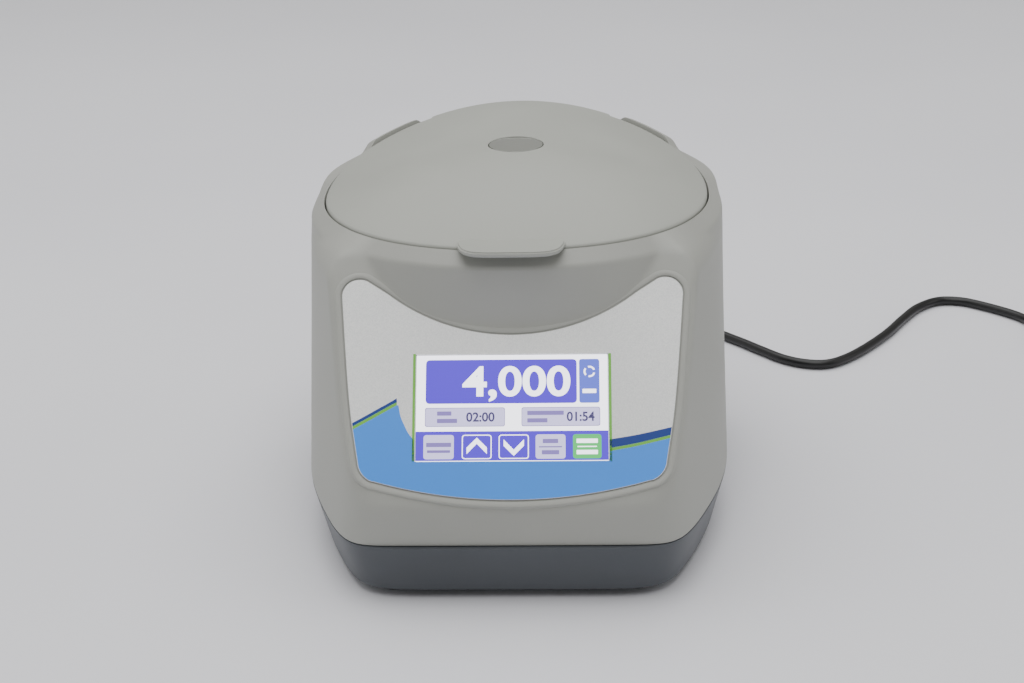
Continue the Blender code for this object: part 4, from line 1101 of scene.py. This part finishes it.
# ---- face ---------------------------------------------------------------------------------------
@dataclass
class Face:
    """Printed overlay and the lit touch screen in it (mm across and up the sloped face)."""

    film: float = 0.6
    screen_width: float = 95.0
    screen_height: float = 53.6
    screen_rise: float = 51.6
    ink: float = 0.03
    glass_top: float = 0.44

    def build(self) -> None:
        """Make the overlay, its print and the screen."""
        outline = overlay_outline()
        film = prism("printed_overlay", outline * MM, face_matrix(), self.film * MM, 0.12 * MM)
        carve(film, [self.window_cutter()])
        dress(film, "base", PEARL_FILM, ["front_fascia"])
        self.inks(outline)
        self.screen()

    def window_cutter(self) -> bpy.types.Object:
        """Block a little larger than the screen, right through the overlay."""
        half = Vector((self.screen_width / 2 + 0.4, self.screen_height / 2 + 0.4, 0))
        middle = Vector((0, self.screen_rise, 0))
        return rounded_box("window_cut", (middle - half - Vector((0, 0, 3))) * MM,
                           (middle + half + Vector((0, 0, 6))) * MM, 0.0, face_matrix())

    def inks(self, outline: np.ndarray) -> None:
        """Printed areas, each trimmed to the overlay just inside its edge.

        Args:
            outline: the overlay's outline in mm.
        """
        left_crest = smooth_curve([(-92, 34, 0), (-79.9, 40.2, 0), (-68, 46.8, 0),
                                   (-57.1, 53.0, 0)], 6)[:, :2]
        hollow = smooth_curve([(-56.2, 52.9, 0), (-55.2, 47.6, 0), (-53.2, 42.8, 0), (-50.9, 38.4, 0),
                               (-47.5, 34.4, 0)], 5)[:, :2]
        right_crest = smooth_curve([(47.4, 29.0, 0), (62, 31.7, 0), (79.4, 35.9, 0), (92, 39.4, 0)], 6)[:, :2]
        blue = np.vstack([left_crest, hollow, [(-47.5, 29)], right_crest, [(92, -10), (-92, -10)]])
        left = np.array([(-57.0, 52.2), (-57.0, 54.5), (-57.2, 56.6)])
        stripes = {
            "sky_print": (SKY_INK, [blue]),
            "leaf_print": (LEAF_INK, [
                np.vstack([left_crest[:19] + [0, 0.05], [(-57.1, 54.6)], left_crest[:18][::-1] + [0, 1.7]]),
                np.vstack([right_crest + [0, 0.05], right_crest[::-1] + [0, 1.5]]),
                self.strip(-49.3, -47.95, 24.6, 79.2), self.strip(47.95, 49.3, 24.0, 78.8)]),
            "navy_print": (NAVY_INK, [
                np.vstack([left_crest[:18] + [0, 1.75], left[1:], left_crest[:18][::-1] + [0, 3.5]]),
                np.vstack([right_crest + [0, 1.55], (right_crest + [0, 1.55])[::-1] + [0, 0.6]
                           + np.linspace(2.9, 3.8, len(right_crest))[:, None] * [0, 1]])])}
        for name, (finish, shapes) in stripes.items():
            sheets = [prism(f"{name}_{i}", shape * MM, face_matrix(self.film + 0.005), self.ink * MM)
                      for i, shape in enumerate(shapes)]
            print_sheet = joined(sheets)
            print_sheet.name = name
            shrunk = (outline - [0, 62]) * 0.997 + [0, 62]
            trim = prism("trim", shrunk * MM, face_matrix(self.film - 1), 2 * MM)
            carve(print_sheet, [trim], "INTERSECT")
            carve(print_sheet, [self.window_cutter()])
            dress(print_sheet, "base", finish)

    @staticmethod
    def strip(left: float, right: float, low: float, high: float) -> np.ndarray:
        """Plain rectangle's outline."""
        return np.array([(left, low), (right, low), (right, high), (left, high)])

    def tile(self, u0: float, u1: float, v0: float, v1: float, radius: float = 0.8,
             level: float = 0.0) -> bpy.types.Object:
        """Flat rounded tile of the display.

        Args:
            u0, u1: left and right ends as fractions of the width.
            v0, v1: top and bottom ends as fractions of the height, from the top.
            radius: corner easing in mm.
            level: how far in front of the glass it lies, mm.
        Returns:
            The tile, still without a finish.
        """
        x0, x1 = (u0 - 0.5) * self.screen_width, (u1 - 0.5) * self.screen_width
        y1, y0 = (self.screen_rise + (0.5 - v) * self.screen_height for v in (v0, v1))
        outline = self.strip(x0, x1, y0, y1)
        if radius:
            outline = rounded_corners(outline, radius, 6)
        return prism("tile", outline * MM, face_matrix(self.glass_top + level), 0.012 * MM)

    def digits(self, words: str, u0: float, u1: float, v0: float, v1: float, weight: float,
               level: float) -> bpy.types.Object:
        """Figures stretched to fill a box on the display, as a mesh.

        Args:
            words: the figures.
            u0, u1: left and right ends as fractions of the width.
            v0, v1: top and bottom ends as fractions of the height, from the top.
            weight: how much the strokes are thickened.
            level: how far in front of the glass they lie, mm.
        Returns:
            The mesh object, still without a finish.
        """
        data = bpy.data.curves.new("figures", "FONT")
        data.body, data.size, data.offset, data.extrude = words, 1.0, weight, 0.01
        thing = bpy.data.objects.new("figures", data)
        bpy.context.scene.collection.objects.link(thing)
        flat = as_mesh(thing)
        count = len(flat.data.vertices)
        spots = np.empty(count * 3)
        flat.data.vertices.foreach_get("co", spots)
        spots = spots.reshape(-1, 3)
        low, high = spots.min(0), spots.max(0)
        unit = (spots - low) / (high - low)
        x = (u0 + (u1 - u0) * unit[:, 0] - 0.5) * self.screen_width
        y = self.screen_rise + (0.5 - v1 + (v1 - v0) * unit[:, 1]) * self.screen_height
        local = np.stack([x, y, self.glass_top + level + 0.01 * unit[:, 2]], axis=1) * MM
        world = local @ np.array(face_matrix().to_3x3()).T + np.array(FACE_FOOT)
        flat.data.vertices.foreach_set("co", world.ravel())
        flat.data.update()
        return flat

    def arrow(self, u: float, v: float, up: bool) -> bpy.types.Object:
        """Thick chevron.

        Args:
            u: middle as a fraction of the width.
            v: middle as a fraction of the height, from the top.
            up: point upwards, else downwards.
        Returns:
            The chevron, still without a finish.
        """
        x, y = (u - 0.5) * self.screen_width, self.screen_rise + (0.5 - v) * self.screen_height
        shape = np.array([(-5, -3.6), (0, 1.6), (5, -3.6), (5, -0.4), (0, 4.6), (-5, -0.4)])
        shape = shape * [1, 1 if up else -1]
        return prism("arrow", (shape + [x, y]) * MM, face_matrix(self.glass_top + 0.03), 0.012 * MM)

    def ring(self, u0: float, u1: float, v0: float, v1: float, line: float) -> list[bpy.types.Object]:
        """Outline of a rounded key.

        Args:
            u0, u1: left and right ends as fractions of the width.
            v0, v1: top and bottom ends as fractions of the height, from the top.
            line: width of the line in mm.
        Returns:
            A light tile and the darker one that lies on it.
        """
        du, dv = line / self.screen_width, line / self.screen_height
        return [self.tile(u0, u1, v0, v1, 1.6, 0.015),
                self.tile(u0 + du, u1 - du, v0 + dv, v1 - dv, 1.2, 0.028)]

    def turning_mark(self, u: float, v: float) -> list[bpy.types.Object]:
        """Three short arcs round a circle, the mark for rotation.

        Args:
            u: middle as a fraction of the width.
            v: middle as a fraction of the height, from the top.
        Returns:
            The arcs, still without a finish.
        """
        x, y = (u - 0.5) * self.screen_width, self.screen_rise + (0.5 - v) * self.screen_height
        pieces = []
        for start in (20, 140, 260):
            outer, inner = arc((x, y), 2.9, start, start + 85, 10), arc((x, y), 2.0, start, start + 85, 10)
            pieces.append(prism("mark", np.vstack([outer, inner[::-1]]) * MM,
                                face_matrix(self.glass_top + 0.03), 0.012 * MM))
        return pieces

    def screen(self) -> None:
        """Glass slab and everything that the display shows."""
        low = Vector((-self.screen_width / 2, self.screen_rise - self.screen_height / 2, -1.6)) * MM
        high = Vector((self.screen_width / 2, self.screen_rise + self.screen_height / 2, self.glass_top)) * MM
        glass = rounded_box("screen_glass", low, high, 0.1 * MM, face_matrix())
        dress(glass, "base", LIT_WHITE, ["touch_screen"])
        keys = ((0.041, 0.199), (0.241, 0.395), (0.432, 0.588), (0.623, 0.778), (0.816, 0.964))
        top, foot, front = 0.757, 0.985, 0.03
        up, down = (self.ring(*keys[i], top, foot, 0.45) for i in (1, 2))
        words = ((0.11, 0.185, 0.535, 0.575, 0.3), (0.11, 0.215, 0.605, 0.645, 0.3),
                 (0.58, 0.77, 0.535, 0.575, 0.3), (0.58, 0.685, 0.605, 0.645, 0.3),
                 (0.66, 0.74, 0.8, 0.84, 0.3), (0.64, 0.76, 0.868, 0.88, 0),
                 (0.655, 0.745, 0.905, 0.945, 0.3), (0.055, 0.185, 0.83, 0.87, 0.3),
                 (0.06, 0.18, 0.9, 0.925, 0.3))
        start_words = ((0.84, 0.94, 0.868, 0.878, 0), (0.835, 0.945, 0.8, 0.84, 0.3),
                       (0.835, 0.945, 0.905, 0.945, 0.3))
        shown = {
            LIT_INDIGO: [self.tile(0.049, 0.839, 0.045, 0.463, 2.2), self.tile(0.0, 1.0, 0.724, 1.0, 0),
                         up[1], down[1]],
            LIT_PERIWINKLE: [self.tile(0.851, 0.957, 0.045, 0.463, 1.4)],
            LIT_VIOLET: [self.tile(0.047, 0.464, 0.5, 0.68, 1.2), self.tile(0.55, 0.959, 0.5, 0.68, 1.2),
                         *(self.tile(*word, front) for word in words)],
            LIT_LILAC: [self.tile(0.05, 0.461, 0.506, 0.674, 1.1, 0.015),
                        self.tile(0.553, 0.956, 0.506, 0.674, 1.1, 0.015),
                        *(self.tile(*keys[i], top, foot, 1.6, 0.015) for i in (0, 3))],
            LIT_GREEN: [self.tile(*keys[4], top, foot, 1.6, 0.015)],
            LIT_DARK: [self.digits("02:00", 0.262, 0.41, 0.545, 0.635, 0.024, front),
                       self.digits("01:54", 0.785, 0.93, 0.545, 0.635, 0.024, front)],
            LIT_WHITE: [self.digits("4,000", 0.241, 0.805, 0.107, 0.445, 0.022, 0.02), up[0], down[0],
                        self.arrow(0.318, 0.87, True), self.arrow(0.51, 0.87, False),
                        *self.turning_mark(0.905, 0.165), self.tile(0.868, 0.94, 0.33, 0.37, 0.3, 0.02),
                        *(self.tile(*word, front) for word in start_words)]}
        for finish, tiles in shown.items():
            area = joined(tiles)
            area.name = f"display_{finish.name[4:]}"
            dress(area, "base", finish)
        refinish("display_module", ZINC_STEEL)
        refinish("display_board", BOARD_MASK)


# ---- lid ----------------------------------------------------------------------------------------
@dataclass
class Lid:
    """Domed cover with its tongue, finger tab, window and liner (mm)."""

    form: Form
    columns: int = 480
    wall: float = 3.0
    seat: float = 15.1
    window: float = 14.6
    edge_radius: float = 1.2
    skirt_z: float = 160.0
    tail_lift: float = 15.0
    tab_z: float = 165.2

    def cover(self) -> bpy.types.Object:
        """Closed skin: out over the crown from the window's seat, down the skirt and back under.

        Returns:
            The cover, each ring lying on the crown or a set depth below it.
        """
        form, theta = self.form, np.linspace(0, math.tau, self.columns, endpoint=False)
        rim = form.lid_rim(theta)
        edge = self.edge_radius
        tail = np.clip((np.sin(theta) - 0.8) / 0.1, 0, 1)
        skirt = self.skirt_z + self.tail_lift * tail * tail * (3 - 2 * tail)
        grid = [form.crown_ring(theta, self.seat + 0 * theta, 0.3),
                form.crown_ring(theta, self.seat + 0.3 + 0 * theta)]
        grid += [form.crown_ring(theta, self.seat + 0.3 + (rim - edge - self.seat - 0.3) * t)
                 for t in np.linspace(0.03, 1, 44)]
        grid += [form.crown_ring(theta, rim - edge * (1 - math.sin(a)), 0.9 * edge * (1 - math.cos(a)))
                 for a in np.radians((18, 36, 54, 72, 90))]
        grid += [form.place(theta, rim, skirt + 0.4), form.place(theta, rim - 0.12, skirt + 0.12),
                 form.place(theta, rim - 0.4, skirt), form.place(theta, rim - self.wall + 0.2, skirt)]
        grid += [form.crown_ring(theta, self.seat + (rim - self.wall - self.seat) * t, self.wall)
                 for t in np.linspace(0.99, 0, 24)]
        return grid_piece("lid_dome", np.stack(grid))

    def tab(self) -> bpy.types.Object:
        """Finger tab: thin ledge with rounded corners."""
        right = [(27, -72.5), (27, -80), (24.6, -88.6), (19.6, -93.1), (12, -94.4)]
        left = [(-x, y) for x, y in reversed(right)]
        outline = rounded_corners(left + right, 3.2, 5)
        return prism("finger_tab", outline[::-1] * MM, Matrix.Translation((0, 0, self.tab_z * MM)),
                     2.8 * MM, 0.8 * MM, 50)

    def build(self) -> None:
        """Make the lid's pieces."""
        dress(self.cover(), "lid", LID_ABS, ["lid_cover"])
        dress(self.tab(), "lid", LID_ABS)
        top = self.form.lid_edge_z + self.form.lid_rise
        # The lens's opaque grey is painted shade of the chamber seen through it and painted reflection of the
        # room.
        lens = [(0, 163), (self.window - 3, 163), (self.window, 184), (self.window, top - 0.5), (0, top)]
        dress(turned("lid_lens", lens, sides=96, ease=0.35), "lid", WINDOW_PC, ["lid_window"])
        ribs = []
        for r in (30, 50, 70, 88):
            ribs += [(r, 160.4), (r + 0.3, 160), (r + 1.7, 160), (r + 2, 160.4)]
        liner = [(self.window - 2, 160.4), *ribs, (92.4, 160.4), (93, 161), (93, 162.4),
                 (self.window - 2, 162.4)]
        dress(turned("lid_lining", liner, sides=144, ease=0.2), "lid", LINER_ABS, ["lid_liner"])
        for node in ("lid_striker", "lid_hinge_arm_left", "lid_hinge_arm_right"):
            refinish(node, ZINC_STEEL)


@dataclass
class Hinge:
    """Pin with two wound springs on the bracket behind the chamber (mm)."""

    y: float = 118.0
    z: float = 176.0
    pin: float = 2.5
    coil: float = 3.9
    wire_radius: float = 0.78
    turns: int = 10
    spring_x: float = 14.0
    spring_half: float = 9.0

    def build(self) -> None:
        """Make the pin and the springs."""
        axis_point = (0, self.y * MM, self.z * MM)
        pin = [(0, -38), (self.pin, -38), (self.pin, 38), (0, 38)]
        dress(turned("pivot_pin", pin, axis_point, (1, 0, 0), 48, 0.5), "base", ZINC_STEEL,
              ["hinge_pin"])
        for side, sign in (("left", -1), ("right", 1)):
            t = np.linspace(0, 1, self.turns * 20 + 1)
            reach = self.spring_half - self.wire_radius
            x = sign * self.spring_x + (2 * t - 1) * reach
            turn = math.tau * self.turns * t
            path = np.stack([x, self.y + self.coil * np.cos(turn), self.z + self.coil * np.sin(turn)],
                            axis=1) * MM
            spring = as_mesh(wire(f"lid_spring_{side}", path, self.wire_radius * MM, 2))
            dress(spring, "base", ZINC_STEEL, [f"hinge_spring_{side}"])
        refinish("hinge_bracket", ZINC_STEEL)


# ---- chamber, rotor, lock and electrics ---------------------------------------------------------
@dataclass
class Chamber:
    """Spun bowl, its gasket and the steel guard behind it (mm)."""

    radius: float = 87.0
    floor: float = 80.0
    top: float = 154.0
    sheet: float = 1.2

    def build(self) -> None:
        """Make the bowl and gasket; the guard keeps its CAD shape."""
        r, s, low, top = self.radius, self.sheet, self.floor, self.top
        bowl = [(16, low), (78, low), (84.5, low + 2.6), (r + s, low + 10), (r + s, top - s), (93.5, top - s),
                (93.5, top), (r, top), (r, low + 10.5), (83.6, low + 3.8), (77.6, low + s), (16, low + s)]
        dress(turned("spun_bowl", bowl, sides=160, ease=1.6), "base", SPUN_STEEL, ["chamber_bowl"])
        lip = [(86.9, top + 0.3), (89.6, top + 0.3), (89.6, 157.6), (88.2, 159.5), (86.9, 158)]
        dress(turned("mouth_gasket", lip, sides=160, ease=0.7), "base", GREY_RUBBER,
              ["bowl_gasket"])
        refinish("guard_ring", MOTOR_PAINT)


@dataclass
class Rotor:
    """24-place angle rotor with a clear cap and a knurled clamping knob (mm)."""

    places: int = 24
    bore: float = 5.6
    bore_circle: float = 62.0
    bore_z: float = 130.0
    bore_depth: float = 13.0
    knurls: int = 40

    def build(self) -> None:
        """Make the rotor's pieces."""
        shaft = [(0, 72.3), (6, 72.3), (6, 112), (0, 112)]
        dress(turned("drive_shaft", shaft, sides=64, ease=0.9), "rotor", BRUSHED_STEEL,
              ["motor_shaft"])
        body = [(6.3, 92), (44, 92), (83, 128), (83, 140), (80, 141), (74, 141), (50, 119), (17, 119),
                (15, 132), (0, 132), (0, 113), (6.3, 113)]
        disc = turned("angle_rotor", body, sides=192, ease=0.8)
        lean = Vector((-22, 0, 24)).normalized()
        bores = []
        for i in range(self.places):
            turn = Matrix.Rotation(math.tau * (i + 0.5) / self.places, 3, "Z")
            spot = turn @ Vector((self.bore_circle, 0, 0)) + Vector((0, AXIS_Y / MM, self.bore_z))
            profile = [(0, -self.bore_depth), (3.4, -self.bore_depth), (self.bore, -self.bore_depth + 4),
                       (self.bore, 6), (0, 6)]
            bores.append(turned(f"bore_{i}", profile, spot * MM, turn @ lean, 28, 0.0))
        carve(disc, [joined(bores)])
        dress(disc, "rotor", BLACK_ANODISE, ["rotor"])
        cap = [(6, 144.6), (40, 143.6), (78, 141.6), (80, 141.4), (81, 143), (40, 146), (16, 146.8), (6, 147)]
        dress(turned("rotor_cap", cap, sides=160, ease=0.5), "rotor", CLEAR_CAP, ["rotor_lid"])
        self.knob()

    def knob(self) -> None:
        """Knob whose grip radius dips with a cosine of the angle, deepest at mid height."""
        profile = rounded_corners([(0.02, 132.4), (5.5, 132.4), (5.5, 147.4), (14, 147.4), (15, 149),
                                   (14.6, 153), (14, 156), (12.5, 157.4), (5, 157.4), (4.4, 156.9),
                                   (0.02, 156.9)], 0.8, 4)
        theta = np.linspace(0, math.tau, self.knurls * 6, endpoint=False)
        grip = np.clip((profile[:, 0] - 12.6) / 1.6, 0, 1)[:, None]
        radius = profile[:, :1] - 0.55 * grip * (0.5 - 0.5 * np.cos(self.knurls * theta))
        z = profile[:, 1:] + 0 * theta
        grid = np.stack([radius * np.cos(theta), radius * np.sin(theta), z], axis=-1) * MM + [0, AXIS_Y, 0]
        dress(grid_piece("clamp_knob", grid), "knob", TURNED_ALLOY, ["rotor_knob"])


@dataclass
class Works:
    """Drive, lid lock, boards and rear panel fittings (mm)."""

    switch_x: float = 6.0
    panel_z: float = 55.0
    panel_y: float = 143.357

    def build(self) -> None:
        """Refinish the hidden works and model what shows at the back."""
        kept = {MOTOR_PAINT: ("motor_housing", "lock_motor"), BRUSHED_STEEL: ("motor_plate", "lock_plate"),
                ZINC_STEEL: ("latch_hook", "latch_pin", "latch_spring"), TURNED_ALLOY: ("power_supply",),
                SOFT_RUBBER: ("motor_damper_1", "motor_damper_2", "motor_damper_3", "shaft_seal"),
                BOARD_MASK: ("main_board",), BLACK_ABS: ("power_inlet", "fuse_drawer")}
        for finish, nodes in kept.items():
            for node in nodes:
                refinish(node, finish)
        self.switch()
        self.rating_plate()

    def switch(self) -> None:
        """Rocker switch: bezel with a rounded flange, and a rocker dished between its raised ends."""
        x, y, z = self.switch_x, self.panel_y, self.panel_z
        bezel = rounded_box("switch_surround", Vector((x - 6.4, y - 14, z - 9.4)) * MM,
                            Vector((x + 6.4, y + 1, z + 9.4)) * MM, 0.6 * MM)
        pocket = rounded_box("rocker_pocket", Vector((x - 5, y - 9, z - 8)) * MM,
                             Vector((x + 5, y + 3, z + 8)) * MM, 0.3 * MM)
        carve(bezel, [pocket])
        dress(bezel, "base", BLACK_ABS, ["switch_bezel"])
        pivot_y = y - 3
        face = smooth_curve([(-6.6, 5.2, 0), (-3.4, 3.0, 0), (0, 2.0, 0), (3.4, 2.5, 0),
                             (6.6, 3.6, 0)], 5)[:, :2]
        outline = np.vstack([face, [(6.4, -1), (1.6, -4), (-1.6, -4), (-6.4, -1)]])
        side = Matrix(((0, 0, 1, (x - 4.6) * MM), (0, 1, 0, pivot_y * MM), (1, 0, 0, z * MM), (0, 0, 0, 1)))
        rocker = prism("power_rocker", outline * MM, side, 9.2 * MM, 0.3 * MM)
        dress(rocker, "rocker", BLACK_ABS, ["switch_rocker"])

    def rating_plate(self) -> None:
        """Plain silver label low on the rear wall, left blank."""
        lean = math.atan2(9, 126)
        turn = Matrix.Translation(Vector((-41, 145.15, 47)) * MM) @ Matrix.Rotation(math.pi, 4, "Z") \
            @ Matrix.Rotation(math.pi / 2 + lean, 4, "X")
        outline = rounded_corners([(-22, -6), (22, -6), (22, 6), (-22, 6)], 1.5, 5)
        label = prism("type_label", outline * MM, turn, -0.1 * MM)
        dress(label, "base", ZINC_STEEL)


def main() -> None:
    """Build each sub-assembly in order."""
    logging.basicConfig(level=logging.INFO, format="%(message)s")
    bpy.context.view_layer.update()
    form = Form()
    Studio().build()
    Lead().build()
    for part in (Housing(form), Tray(form), Face(), Lid(form), Hinge(), Chamber(), Rotor(), Works()):
        log.info("building %s", type(part).__name__)
        part.build()


if __name__ == "__main__":
    main()
